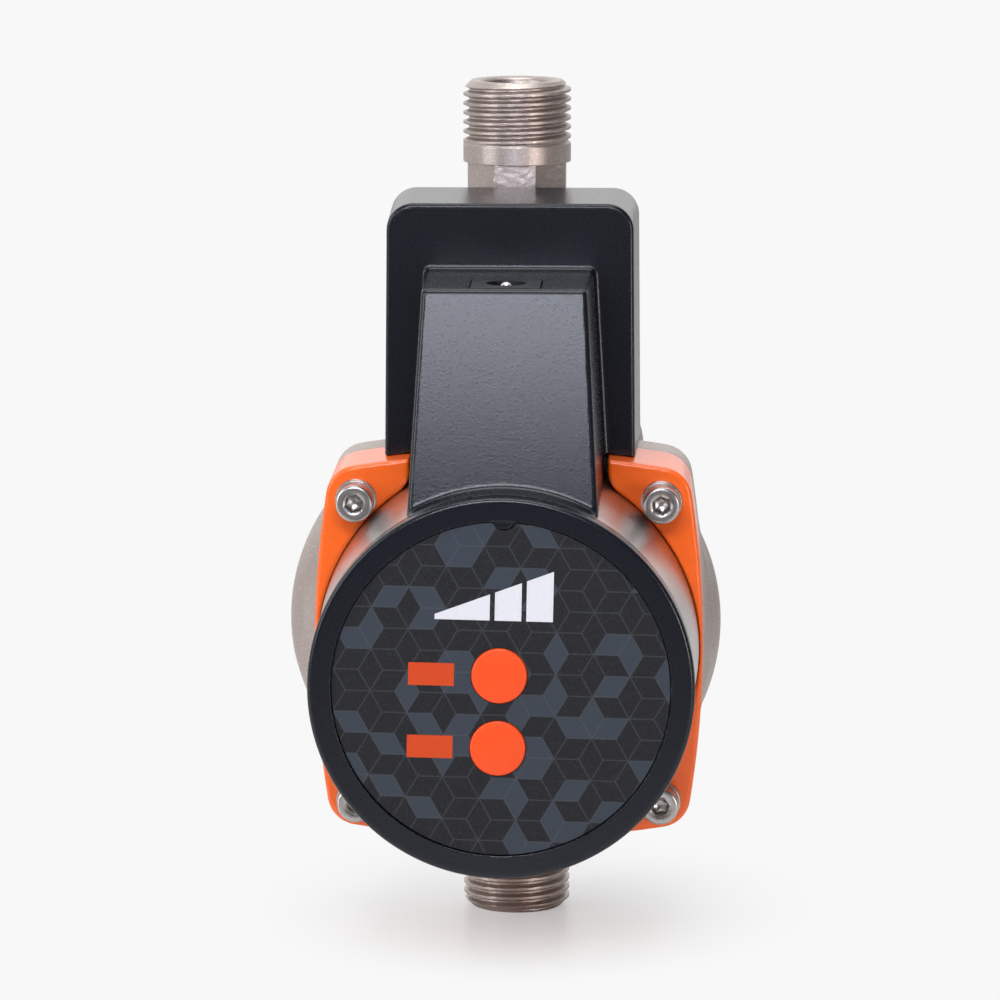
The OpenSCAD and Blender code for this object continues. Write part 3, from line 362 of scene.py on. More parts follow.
class Look(Enum):
    """The finishes: name, colour, metallic, roughness, size of the grain, and what else differs."""

    CAST = CastFinish("cast_stainless", (0.54, 0.465, 0.435), 1.0, 0.44)
    THREAD = CastFinish("cut_thread", (0.55, 0.475, 0.445), 1.0, 0.4)
    TURNED = TurnedFinish("turned_aluminium", (0.45, 0.415, 0.40), 1.0, 0.27)
    PAINT = Finish("orange_paint", (1.0, 0.135, 0.002), 0.0, 0.36, 1.6, tone=0.04, swing=0.03, coat=0.4)
    MOULDED = MouldedFinish("dark_moulding", (0.0036, 0.0046, 0.009), 0.0, 0.26, relief=0.018)
    SMOOTH_MOULDED = MouldedFinish("dark_insert", (0.008, 0.009, 0.012), 0.0, 0.4, relief=0.012)
    PANEL = PanelFinish("panel_print", (0.008, 0.0085, 0.0105), 0.0, 0.55)
    BUTTON = Finish("orange_button", (0.84, 0.066, 0.0), 0.0, 0.45, 0.5, tone=0.06, swing=0.04, relief=0.008)
    LAMP = Finish("orange_lamp", (0.57, 0.05, 0.001), 0.0, 0.4, 0.8, tone=0.05, swing=0.03, relief=0.003)
    WHITE = Finish("white_bar", (0.66, 0.66, 0.69), 0.0, 0.45, 0.5, tone=0.04, swing=0.03, relief=0.003)
    SCREW = Finish("screw_steel", (0.50, 0.47, 0.45), 1.0, 0.3, 0.4, swing=0.06, relief=0.001)
    BLACK = Finish("black_moulding", (0.02, 0.02, 0.022), 0.0, 0.5)
    RUBBER = Finish("seal_rubber", (0.025, 0.025, 0.025), 0.0, 0.75)
    SHEET = Finish(
        "drawn_sheet", (0.72, 0.72, 0.74), 1.0, 0.28, 0.8,
        tone=0.08, swing=0.06, relief=0.004, stretch=(1, 6, 1),
    )
    CERAMIC = Finish(
        "ground_ceramic", (0.86, 0.85, 0.82), 0.0, 0.22, 0.5, tone=0.03, swing=0.03, relief=0.002, coat=0.4
    )
    LAMINATION = Finish(
        "laminations", (0.36, 0.36, 0.38), 1.0, 0.45, 0.5,
        tone=0.3, swing=0.1, relief=0.05, stretch=(60, 0.6, 60),
    )
    COPPER = Finish(
        "winding", (0.72, 0.3, 0.12), 0.7, 0.35, 0.5, tone=0.3, relief=0.08, coat=0.3, stretch=(8, 8, 0.6)
    )
    FERRITE = Finish("ferrite", (0.09, 0.09, 0.1), 0.3, 0.5)
    NATURAL = Finish("natural_moulding", (0.8, 0.77, 0.68), 0.0, 0.42, 1.2, tone=0.06)
    BOARD = Finish(
        "circuit_board", (0.015, 0.12, 0.045), 0.0, 0.35, 1.5, tone=0.3, swing=0.05, relief=0.02, coat=0.3
    )
    SLEEVE = Finish("capacitor_sleeve", (0.02, 0.025, 0.08), 0.0, 0.35, 2.0, tone=0.1)
    RIBBON = Finish(
        "ribbon_lead", (0.7, 0.69, 0.65), 0.0, 0.5, 0.9,
        tone=0.35, swing=0.05, relief=0.05, stretch=(0.6, 30, 30),
    )
    WIRE = Finish("red_wire", (0.55, 0.02, 0.015), 0.0, 0.4)
    PLATED = Finish("plated_pin", (0.86, 0.84, 0.8), 1.0, 0.14, 0.3, tone=0.05, swing=0.04, relief=0.002)


# Surfaces


@dataclass
class Shell:
    """A mesh in the making: points in millimetres and its faces."""

    points: Array
    faces: list
    normals: Array | None = None

    def volume(self) -> float:
        """Signed volume: the sum of the cones from the origin to the triangles of each face."""
        fans = [(f[0], f[k], f[k + 1]) for f in self.faces for k in range(1, len(f) - 1)]
        a, b, c = self.points[np.array(fans).T]
        return float((a * np.cross(b, c)).sum()) / 6

    def outward(self) -> "Shell":
        """Turns every face outwards, by the sign of the volume."""
        if self.volume() < 0:
            self.faces = [face[::-1] for face in self.faces]
        return self

    def __add__(self, other: "Shell") -> "Shell":
        """Both shells in one."""
        base = len(self.points)
        moved = [tuple(i + base for i in face) for face in other.faces]
        return Shell(np.vstack([self.points, other.points]), list(self.faces) + moved)


def loft(rows: Array, ring: bool = False) -> Shell:
    """Closed skin through rows of points that each go once round.

    Args:
        rows: points, shaped (rows, columns, 3).
        ring: joins the last row to the first, where otherwise a fan to its middle closes each.

    Returns:
        The skin, facing outwards.
    """
    count, columns, _ = rows.shape
    index = np.arange(count * columns).reshape(count, columns)
    if ring:
        index = np.vstack([index, index[:1]])
    right = np.roll(index, -1, axis=1)
    quads = np.stack([index[:-1], right[:-1], right[1:], index[1:]], axis=-1).reshape(-1, 4)
    points, faces = rows.reshape(-1, 3), [tuple(q) for q in quads.tolist()]
    if not ring:
        hub = len(points)
        points = np.vstack([points, rows[0].mean(axis=0), rows[-1].mean(axis=0)])
        faces += [(b, a, hub) for a, b in zip(index[0].tolist(), right[0].tolist())]
        faces += [(a, b, hub + 1) for a, b in zip(index[-1].tolist(), right[-1].tolist())]
    return Shell(points, faces).outward()


def polar(radius: Values, turn: Values, depth: Values) -> Array:
    """Points round the motor axis, with the axis at height zero, from arrays that broadcast together."""
    r, a, d = np.broadcast_arrays(radius, turn, depth)
    return np.stack([r * np.sin(a), -d, r * np.cos(a)], axis=-1)


def upright(radius: Values, turn: Values, height: Values) -> Array:
    """Points round the pipe's axis, from arrays that broadcast together."""
    r, a, h = np.broadcast_arrays(radius, turn, height)
    return np.stack([r * np.cos(a), r * np.sin(a), h], axis=-1)


def turns(steps: int) -> Array:
    """Angles of equal steps once round."""
    return np.linspace(0, 2 * math.pi, steps, endpoint=False)


def turned(profile: Sequence[Pair], steps: int) -> Array:
    """Rows of a turned shape about the motor axis.

    Args:
        profile: (radius, depth) pairs; each becomes a circle of that radius at that depth.
        steps: points round each circle.

    Returns:
        Points shaped (rows, steps, 3), with the axis at height zero.
    """
    r, d = np.array(profile, float).T[:, :, None]
    return polar(r, turns(steps), d)


def rounded(profile: Sequence[Pair], radius: float, steps: int) -> list[Pair]:
    """Rounds the inner corners of an open profile, each by a quadratic arc.

    Args:
        profile: the corners in order.
        radius: how far from a corner its arc starts and ends, up to a third of the side.
        steps: points on an arc.

    Returns:
        The profile with its arcs.
    """
    pts = np.array(profile, float)
    out = [tuple(pts[0])]
    for before, here, after in zip(pts[:-2], pts[1:-1], pts[2:]):
        la, lb = np.linalg.norm(before - here), np.linalg.norm(after - here)
        a = here + (before - here) * min(radius / la, 0.33)
        b = here + (after - here) * min(radius / lb, 0.33)
        for t in np.linspace(0, 1, steps):
            out.append(tuple((1 - t) ** 2 * a + 2 * t * (1 - t) * here + t * t * b))
    out.append(tuple(pts[-1]))
    return out


def blend_union(a: Array, b: Array, k: float) -> Array:
    """Distance to both shapes, with a fillet of about k: the lesser of two, less k h (1 - h)."""
    h = np.clip(0.5 + 0.5 * (b - a) / k, 0, 1)
    return b + (a - b) * h - k * h * (1 - h)


def overlap(*shapes: Array) -> Array:
    """Distance to what lies in all the shapes, its edges sharp: the greatest of theirs."""
    return reduce(np.maximum, shapes)


def round_cut(a: Array, b: Array, r: float) -> Array:
    """Distance to what lies in both shapes, its edge rounded by a circle of radius r."""
    u, v = a + r, b + r
    return np.minimum(np.maximum(u, v), 0) + np.hypot(np.maximum(u, 0), np.maximum(v, 0)) - r


def bowed_square(x: Array, z: Array, grow: float = 0.0) -> Array:
    """Distance to the flange's outline: a square with bowed sides and round corners.

    An inner outline is the overlap of two pairs of discs, and the distance to it less the corner radius is
    the distance to the flange. Past the ends of the arcs the nearest point is the corner where they meet,
    found by solving each arc for one of its coordinates in turn.
    """
    half_w, half_h, side_bow, top_bow, corner = 36.75, 37.0, 190.0, 180.0, 6.0
    bx, by, side, top = side_bow - half_w, top_bow - half_h, side_bow - corner, top_bow - corner
    cx, cy = half_w - corner, half_h - corner
    for _ in range(20):
        cx = math.sqrt(side * side - cy * cy) - bx
        cy = math.sqrt(top * top - cx * cx) - by
    x, y = np.abs(x), np.abs(z - AXIS_H + OUTLINE_DROP)
    du, dv = np.hypot(x + bx, y) - side, np.hypot(x, y + by) - top
    past_side = y * (cx + bx) > cy * (x + bx)
    past_top = x * (cy + by) > cx * (y + by)
    away = np.where(past_side & past_top, np.hypot(x - cx, y - cy), np.maximum(du, dv))
    return away - corner - grow


def spiral_radius(x: Array, z: Array) -> Array:
    """Outer radius of the spiral: it grows over 240 degrees past the tongue and eases back over the rest."""
    least, growth, tongue, rise = 38.6, 5.3, 20, 240
    a = (np.degrees(np.arctan2(x, z - AXIS_H)) - tongue) % 360
    ease = (1 + np.cos(np.radians(180 * (a - rise) / (360 - rise)))) / 2
    return least + growth * np.where(a < rise, a / rise, ease)


def capsule(x: Array, d: Array, z: Array, a: Triple, b: Triple, ra: float, rb: float) -> Array:
    """Distance to a rod from a to b, each (x, depth, height), whose radius goes from ra to rb."""
    a, b = np.array(a, float), np.array(b, float)
    ab = b - a
    t = np.clip(((x - a[0]) * ab[0] + (d - a[1]) * ab[1] + (z - a[2]) * ab[2]) / ab.dot(ab), 0, 1)
    dx, dd, dz = x - a[0] - t * ab[0], d - a[1] - t * ab[1], z - a[2] - t * ab[2]
    return np.sqrt(dx * dx + dd * dd + dz * dz) - ra - (rb - ra) * t


def skin(field: Field, low: Triple, high: Triple, step: float) -> Shell:
    """Skin of the shape where a distance field is negative.

    Each grid cell that the surface crosses gets one point, the mean of its edges' crossings, moved onto
    the surface along the field's gradient. Each grid edge that crosses joins the four cells round it.

    Args:
        field: distance of points given by x, depth and height.
        low: lowest x, depth and height.
        high: highest x, depth and height.
        step: size of a cell.

    Returns:
        The skin, with a normal at each point.
    """
    axes = [np.arange(a - 1.5 * step, b + 2.5 * step, step) for a, b in zip(low, high)]
    value = field(*np.meshgrid(*axes, indexing="ij"))
    inside = value < 0
    corners = np.array([(i, j, k) for i in (0, 1) for j in (0, 1) for k in (0, 1)])
    edges = [(a, a | 1 << k) for k in range(3) for a in range(8) if not a & 1 << k]
    wide, deep, tall = np.array(value.shape) - 1
    windows = [inside[i : wide + i, j : deep + j, k : tall + k] for i, j, k in corners]
    active = np.logical_or.reduce(windows) & ~np.logical_and.reduce(windows)
    cells = np.argwhere(active)
    number = np.full(active.shape, -1)
    number[active] = np.arange(len(cells))
    at = cells[:, None, :] + corners[None]
    held = value[at[..., 0], at[..., 1], at[..., 2]]
    total, crossings = np.zeros((len(cells), 3)), np.zeros(len(cells))
    for a, b in edges:
        va, vb = held[:, a], held[:, b]
        cross = (va < 0) != (vb < 0)
        t = np.where(cross, va / np.where(cross, va - vb, 1), 0)
        total += np.where(cross[:, None], corners[a] + t[:, None] * (corners[b] - corners[a]), 0)
        crossings += cross
    points = np.array([a[0] for a in axes]) + (cells + total / crossings[:, None]) * step

    def slope(p: Array, h: float) -> Array:
        """Gradient of the field by central differences."""
        g = [field(*(p + h * e).T) - field(*(p - h * e).T) for e in np.eye(3)]
        return np.stack(g, axis=1) / (2 * h)

    for _ in range(3):
        g = slope(points, 0.04 * step)
        move = -field(*points.T)[:, None] * g / np.maximum((g * g).sum(axis=1, keepdims=True), 0.2)
        points = points + np.clip(move, -0.5 * step, 0.5 * step)
    normals = slope(points, 0.3 * step)
    normals /= np.maximum(np.linalg.norm(normals, axis=1, keepdims=True), 1e-9)
    quads = []
    for axis in range(3):
        u, v = (axis + 1) % 3, (axis + 2) % 3
        lo, hi = [slice(1, -1)] * 3, [slice(1, -1)] * 3
        lo[axis], hi[axis] = slice(0, -1), slice(1, None)
        first = inside[tuple(lo)]
        change = first != inside[tuple(hi)]
        where = np.argwhere(change) + (np.arange(3) != axis)
        leaves = first[change]
        ring = []
        for du, dv in ((1, 1), (0, 1), (0, 0), (1, 0)):
            cell = where.copy()
            cell[:, u] -= du
            cell[:, v] -= dv
            ring.append(number[cell[:, 0], cell[:, 1], cell[:, 2]])
        quad = np.stack(ring, axis=1)
        quads.append(np.where(leaves[:, None], quad, quad[:, ::-1]))
    faces = [tuple(q) for q in np.vstack(quads).tolist()]
    flip = np.array([1.0, -1.0, 1.0])
    shell = Shell(points * flip, faces, normals * flip)
    return shell.outward()


def linked(name: str, data: bpy.types.ID) -> Object:
    """A new object in the scene that holds the data."""
    made = bpy.data.objects.new(name, data)
    bpy.context.scene.collection.objects.link(made)
    return made


def piece(name: str, shell: Shell, look: Look, body: str, sharp: float = 32.0) -> Object:
    """Makes a piece from a shell.

    Args:
        name: the piece's name.
        shell: its skin in millimetres.
        look: its finish.
        body: the body that it rides on.
        sharp: edges turned by more degrees than this are shaded sharp.

    Returns:
        The new object.
    """
    mesh = bpy.data.meshes.new(name)
    mesh.from_pydata((shell.points * MM).tolist(), [], shell.faces)
    mesh.polygons.foreach_set("use_smooth", np.ones(len(mesh.polygons), bool))
    if shell.normals is not None:
        mesh.normals_split_custom_set_from_vertices(shell.normals.tolist())
    else:
        mesh.set_sharp_from_angle(angle=math.radians(sharp))
    mesh.update()
    made = linked(name, mesh)
    made.data.materials.append(look.value.made())
    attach(made, body)
    LOG.info("%s: %d faces", name, len(mesh.polygons))
    return made


def raise_to_axis(points: Array, x: float = 0.0, height: float = AXIS_H) -> Array:
    """Moves points made round the motor axis to a place."""
    return points + np.array([x, 0.0, height])


# Sub-assemblies


@dataclass
class Casting:
    """The cast body: pipe, wrench necks, spiral, flange, shoulders and pad, blended like a casting."""

    pipe_r: float = 10.0
    pipe_end: float = 24.0
    neck_half: float = 9.5
    neck_end: float = 25.8
    spiral_depth: float = 11.0
    spiral_round: float = 9.0
    plate_back: float = 16.0
    bulge_r: float = 11.5
    shoulder: Triple = (16.5, 2.4, 93.7)
    shoulder_r: float = 8.0
    horn_top: Triple = (0.0, 0.0, 112.0)
    horn_top_r: float = 9.6
    web_end: Triple = (0.0, 2.4, 95.0)
    pad_half: float = 11.5
    pad_front: float = 11.0
    pad_low: float = 113.0
    pad_high: float = 137.0
    plate_fillet: float = 4.0
    shoulder_fillet: float = 6.5
    bulge_fillet: float = 8.0
    pipe_fillet: float = 5.0
    pad_fillet: float = 2.0
    neck_fillet: float = 0.8
    way_r: float = 6.3
    mouth_r: float = 6.6
    mouth_h: float = 20.0
    way_top: float = 116.0
    seat_r: float = 33.0
    seat_back: float = 24.0
    step: float = 0.62

    def neck(self, x: Array, d: Array, h: Array) -> Array:
        """Distance to one end's wrench flats, an octagon: the greatest of four pairs of flats."""
        ax, ad = np.abs(x), np.abs(d)
        octagon = overlap(ax, ad, (ax + ad) / math.sqrt(2)) - self.neck_half
        return round_cut(octagon, h - self.neck_end, 0.5)

    def field(self, x: Array, d: Array, z: Array) -> Array:
        """Distance to the whole casting: blended unions of its parts, less the water ways."""
        end = PORT_SPAN / 2 - np.abs(z - PORT_SPAN / 2)
        rho, bore, ax = np.hypot(x, z - AXIS_H), np.hypot(x, d), np.abs(x)
        outer = np.maximum(rho - spiral_radius(x, z) + self.spiral_round, 0)
        wheel = np.hypot(outer, d - self.spiral_depth) - self.spiral_round
        plate = round_cut(bowed_square(x, z), self.plate_back - d, 1.4)
        pipe = np.maximum(bore - self.pipe_r, self.pipe_end - end)
        bulge = np.hypot(rho, d) - self.bulge_r
        horn = capsule(ax, d, z, self.shoulder, self.horn_top, self.shoulder_r, self.horn_top_r)
        web = capsule(ax, d, z, self.shoulder, self.web_end, self.shoulder_r, self.shoulder_r)
        pad_ends = np.maximum(self.pad_low - z, z - self.pad_high)
        pad = round_cut(round_cut(ax - self.pad_half, pad_ends, 1.5), d - self.pad_front, 0.4)
        body = blend_union(wheel, plate, self.plate_fillet)
        body = blend_union(body, blend_union(horn, web, 1.0), self.shoulder_fillet)
        body = blend_union(body, blend_union(pipe, bulge, self.bulge_fillet), self.pipe_fillet)
        body = blend_union(body, np.maximum(pad, -d), self.pad_fillet)
        body = round_cut(body, d - CASTING_FACE, 0.45)
        for height in (z, PORT_SPAN - z):
            body = blend_union(body, self.neck(x, d, height), self.neck_fillet)
        way = bore - np.where(end < self.mouth_h, self.mouth_r, self.way_r)
        way = np.maximum(way, np.minimum(z - AXIS_H, self.way_top - z))
        seat = np.maximum(rho - self.seat_r, self.seat_back - d)
        return overlap(body, END_GAP - end, -way, -seat)

    def build(self) -> Object:
        """Makes the casting."""
        low, high = (-46, -14, END_GAP), (43, CASTING_FACE, PORT_SPAN - END_GAP)
        made = piece("cast_body", skin(self.field, low, high, self.step), Look.CAST, "pump")
        return made


@dataclass
class PortThread:
    """A right-hand G1/2 parallel thread with its end face, its collar and the mouth of the water way."""

    crest_r: float = 10.4775
    root_r: float = 9.3155
    pitch: float = 1.814
    flank: float = 0.65
    crest_share: float = 0.58
    bevel: float = 1.05
    length: float = 15.8
    thread_end: float = 12.3
    lip: float = 0.18
    face_r: float = 8.9
    bore_r: float = 6.6
    steps: int = 144

    def rows(self) -> Array:
        """Points of one end, its end face at height zero.

        Round the thread the radius is root + depth times a flattened cosine of height over pitch less
        turn, held inside the end's bevel and faded into the collar over the last turn.
        """
        angle, end, lip = turns(self.steps), self.length, self.lip
        collar = [END_GAP, end - lip - 0.04, end - lip, end - 0.05, end]
        h = np.append(np.linspace(0.0, self.thread_end + 0.4, 150), collar)[:, None]
        wave = self.crest_share + self.flank * np.cos(2 * math.pi * h / self.pitch - angle)
        wave = np.clip(wave, 0, 1)
        fade = np.clip((self.thread_end - h) / (0.7 * self.pitch), 0, 1)
        radius = self.root_r + (self.crest_r - self.root_r) * (1 - (1 - wave) * fade)
        radius = np.minimum(radius, self.face_r + h * self.bevel)
        radius[-2:] -= np.array([[0.3], [1.0]]) * lip
        inner = [(1.9, end), (1.0, end), (-0.02, end), (-0.02, 6.0), (0.0, 0.8), (0.25, 0.4), (0.7, 0.06)]
        inner += [(0.95, 0.0), (self.face_r - self.bore_r - 0.2, 0.0)]
        past, level = np.array(inner).T[:, :, None]
        return np.concatenate([upright(radius, angle, h), upright(self.bore_r + past, angle, level)])

    def build(self) -> None:
        """Makes both ends; the upper one is the lower one turned over, which keeps the thread's hand."""
        low = self.rows()
        high = low * np.array([1.0, -1.0, -1.0]) + np.array([0.0, 0.0, PORT_SPAN])
        for name, rows in (("inlet_thread_skin", low), ("outlet_thread_skin", high)):
            made = piece(name, loft(rows, ring=True), Look.THREAD, "pump", 40)


@dataclass
class PaintedFlange:
    """The orange flange: a bowed square ring with a slot in its top for the arm."""

    slot_half: float = 18.7
    slot_fillet: float = 2.4
    opening_r: float = 36.06
    back_gap: float = 0.02
    front: float = 46.4
    inner_edge: float = 0.3
    front_edge: float = 0.75
    back_edge: float = 0.35
    step: float = 0.52

    def field(self, x: Array, d: Array, z: Array) -> Array:
        """Distance to the ring: outline less opening and slot, with painted-over edges."""
        slot = np.maximum(np.abs(x) - self.slot_half, AXIS_H - z)
        opening = blend_union(np.hypot(x, z - AXIS_H) - self.opening_r, slot, self.slot_fillet)
        flat = round_cut(bowed_square(x, z), -opening, self.inner_edge)
        front = round_cut(flat, d - self.front, self.front_edge)
        return round_cut(front, CASTING_FACE + self.back_gap - d, self.back_edge)

    def build(self) -> None:
        """Makes the flange in place of its solid."""
        shell = skin(self.field, (-37, CASTING_FACE, 23), (37, self.front, 98), self.step)
        made = piece("painted_flange", shell, Look.PAINT, "pump")
        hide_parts("motor_flange")


@dataclass
class MotorCan:
    """The turned can between the flange and the control head."""

    steps: int = 256

    def build(self) -> None:
        """Makes the can by turning its wall's section, which closes on itself."""
        outer = [(36.0, 27.3), (36.0, 46.9), (35.65, 56.0), (35.3, 65.5), (34.95, 75.0), (34.72, 81.1)]
        outer += [(34.66, 81.5), (34.5, 81.7), (34.3, 81.78), (33.5, 81.78)]
        inner = [(33.4, 81.6), (33.4, 78.5), (32.9, 78.4), (32.8, 60.0), (33.2, 27.4), (34.0, 27.3)]
        shell = loft(raise_to_axis(turned(outer + inner, self.steps)), ring=True)
        made = piece("can_skin", shell, Look.TURNED, "pump", 25)
        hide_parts("motor_can")


@dataclass
class FlangeScrews:
    """Four socket cap screws, each with a split and a flat washer."""

    pitch: float = 57.6
    hole_r: float = 2.2
    head_r: float = 3.5
    seat: float = 48.3
    head_h: float = 4.0
    key_half: float = 1.5
    flat_back: float = 46.42
    flat_front: float = 47.2
    flat_r: float = 3.9
    split_t: float = 0.88
    rise: float = 0.22
    steps: int = 96

    def places(self) -> list[Triple]:
        """(x, height, turn in degrees) of each screw."""
        half, middle = self.pitch / 2, AXIS_H - FLANGE_DROP
        corners = ((-half, half, 14), (half, half, -8), (half, -half, 21), (-half, -half, 3))
        return [(x, middle + y, turn) for x, y, turn in corners]

    def head(self, turn: float) -> Array:
        """Rows of a screw: shank, head, and a hexagon hole with a drilled cone at its bottom.

        The hexagon's radius at an angle is its half width over the cosine of the angle off its flat.
        """
        top, r = self.seat + self.head_h, self.head_r
        outer = [(2.0, 19.4), (2.0, self.seat), (r - 0.25, self.seat), (r, self.seat + 0.2), (r, top - 0.5)]
        outer += [(r - 0.08, top - 0.24), (r - 0.28, top - 0.06), (r - 0.5, top)]
        outer += [(2.1, top), (1.95, top - 0.06)]
        a = turns(self.steps)
        key = self.key_half / np.cos((a - math.radians(turn)) % (math.pi / 3) - math.pi / 6)
        walls = ((1.1, 0.12), (1.0, 0.3), (1.0, 2.0), (0.92, 2.15))
        hole = [polar(key * share, a, top - depth) for share, depth in walls]
        drill = [(1.2, top - 2.3), (0.5, top - 2.62)]
        return np.concatenate([turned(outer, self.steps), hole, turned(drill, self.steps)])

    def split(self, turn: float) -> Array:
        """Rows of a split washer: a square section carried once round, rising a little."""
        a = np.radians(np.linspace(turn + 8, turn + 352, 90))[:, None]
        rise = np.linspace(0, self.rise, 90)[:, None]
        low, t = self.hole_r, self.split_t
        corners = [(low, 0.45), (3.72, 0), (3.8, 0.08), (3.8, 0.8), (3.72, t), (low, t), (low, 0.02)]
        r, d = np.array(rounded(corners, 0.1, 3)).T
        return polar(r, a, self.flat_front + np.clip(d, 0, t) + rise)

    def build(self) -> None:
        """Makes screws and washers in place of their solids."""
        hole, wide, back, front = self.hole_r, self.flat_r, self.flat_back, self.flat_front
        section = rounded([(hole, back), (wide, back), (wide, front), (hole, front)], 0.12, 4)
        flat = turned(section, self.steps)
        screws, washers, splits = [], [], []
        for x, height, turn in self.places():
            screws.append(loft(raise_to_axis(self.head(turn), x, height)))
            washers.append(loft(raise_to_axis(flat, x, height), ring=True))
            splits.append(loft(raise_to_axis(self.split(turn * 7 + 100), x, height)))
        for name, shells, node in (
            ("socket_screws", screws, "cap_screws"),
            ("plain_washers", washers, "flat_washers"),
            ("split_washers", splits, "spring_washers"),
        ):
            made = piece(name, sum(shells[1:], shells[0]), Look.SCREW, "pump", 28)
            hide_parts(node)


@dataclass
class ControlHousing:
    """The moulded housing in one piece: electronics box, leaning arm and control head.

    Attributes:
        toe: half width, back and front of the arm's foot on the head.
        tab: place above the axis, radius and half thickness of the tab that keys the panel.
        insert: half width, middle and half depth of the hollow for the socket's insert.
        well: the same for the socket's body.
    """

    box_half: float = 23.2
    box_top: float = 144.2
    box_low: float = 94.1
    box_front: float = 40.0
    box_rear: float = 11.0
    box_corner: float = 5.0
    fall_draft: float = 0.45 / 48
    depth_draft: float = 0.7 / 29
    fit: float = 0.1
    spiral_front: float = 20.5
    wall: float = 2.0
    recess_front: float = 13.1
    recess_low: float = 101.9
    arm_half: float = 15.2
    arm_top: float = 131.7
    arm_low: float = AXIS_H + 20
    arm_front: float = 69.2
    arm_back: float = 38.0
    arm_spread: float = 2.0 / 35.7
    flare: float = 0.6
    flare_front: float = 69.0
    lean: float = 8.8 / 35.65
    toe_r: float = 35.45
    toe: Triple = (16.8, 72.0, 84.0)
    head_r: float = 35.35
    head_back: float = 82.0
    head_round: float = 0.9
    can_r: float = 36.1
    can_straight: float = 47.0
    can_taper: float = 1.3 / 34.3
    panel_r: float = 31.0
    panel_back: float = 84.0
    opening_r: float = 29.4
    tab: Triple = (31.6, 2.2, 1.4)
    tab_depth: float = 85.6
    insert: Triple = (6.5, 61.15, 6.2)
    insert_t: float = 1.62
    well: Triple = (4.7, 59.6, 4.7)
    well_low: float = 118.0
    step: float = 0.46

    def box_field(self, x: Array, d: Array, z: Array) -> Array:
        """Distance to the box: drafted walls, round upper corners, a foot that follows the flange."""
        half = self.box_half + self.fall_draft * (self.box_top - z) + self.depth_draft * (self.box_front - d)
        outline = round_cut(np.abs(x) - half, z - self.box_top, self.box_corner)
        walls = round_cut(round_cut(outline, d - self.box_front, 0.7), self.box_rear - d, 0.25)
        spiral = np.hypot(x, z - AXIS_H) - spiral_radius(x, z) - self.fit
        foot = np.minimum(bowed_square(x, z, self.fit), np.where(d < self.spiral_front, spiral, FAR))
        recess = overlap(outline + self.wall, d - self.recess_front, self.recess_low - z)
        return overlap(walls, -foot, self.box_low - z, -recess)

    def arm_field(self, x: Array, d: Array, z: Array) -> Array:
        """Distance to the arm: it widens downwards and backwards, and its front leans forward."""
        fall = self.arm_top - z
        flare = np.clip((self.flare_front - d) / (self.flare_front - self.box_front), 0, 1)
        half = self.arm_half + self.arm_spread * fall + self.flare * flare
        front = (d - self.arm_front - self.lean * fall) / math.hypot(1, self.lean)
        edges = round_cut(round_cut(np.abs(x) - half, front, 1.0), z - self.arm_top, 0.8)
        return overlap(edges, self.arm_back - d, self.arm_low - z)

    def hollows(self, x: Array, d: Array, z: Array) -> Array:
        """Distance to the places of the can, the panel and the power socket."""
        rho, ax = np.hypot(x, z - AXIS_H), np.abs(x)
        can = rho - self.can_r + self.can_taper * np.maximum(d - self.can_straight, 0)
        can = np.maximum(can, d - self.head_back)
        panel = rho - np.where(d > self.panel_back, self.panel_r, self.opening_r)
        half, middle, reach = self.insert
        pocket = overlap(ax - half, np.abs(d - middle) - reach, self.arm_top - self.insert_t - z)
        half, middle, reach = self.well
        well = overlap(ax - half, np.abs(d - middle) - reach, self.well_low - z)
        return np.minimum(np.minimum(can, panel), np.minimum(pocket, well))

    def field(self, x: Array, d: Array, z: Array) -> Array:
        """Distance to the housing: filleted box, arm and head, less the hollows, and the panel's tab."""
        y = z - AXIS_H
        rho = np.hypot(x, y)
        disc = round_cut(rho - self.head_r, d - PANEL_FACE, self.head_round)
        disc = round_cut(disc, self.head_back - d, 0.25)
        half, back, front = self.toe
        toe = overlap(rho - self.toe_r, np.abs(x) - half, self.arm_low - z, back - d, d - front)
        arm = blend_union(self.arm_field(x, d, z), toe, 1.0)
        body = blend_union(blend_union(self.box_field(x, d, z), arm, 1.1), disc, 0.8)
        c, s = math.cos(PANEL_TURN), math.sin(PANEL_TURN)
        place, radius, half = self.tab
        tab = np.hypot(x * c - y * s, x * s + y * c - place) - radius
        tab = np.maximum(tab, np.abs(d - self.tab_depth) - half)
        return np.minimum(np.maximum(body, -self.hollows(x, d, z)), tab)

    def build(self) -> None:
        """Makes the housing in place of its solid."""
        low, high = (-35.4, self.box_rear, 25.3), (35.4, PANEL_FACE, self.box_top)
        made = piece("housing_skin", skin(self.field, low, high, self.step), Look.MOULDED, "pump")
        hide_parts("control_housing")


@dataclass
class SocketPin:
    """The power socket's pin, its rounded tip just above the hole's rim."""

    radius: float = 1.25
    depth: float = 59.6
    low: float = 120.6
    tip: float = 131.95

    def build(self) -> None:
        """Makes the pin in place of its solid: a rod whose tip is a quarter circle."""
        a = np.radians(np.linspace(0, 85, 8))
        r = np.append(self.radius, self.radius * np.cos(a))[:, None]
        height = np.append(self.low, self.tip - self.radius * (1 - np.sin(a)))[:, None]
        rows = upright(r, turns(48), height) - np.array([0.0, self.depth, 0.0])
        made = piece("pin_skin", loft(rows), Look.PLATED, "pump", 40)
        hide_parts("socket_pin")


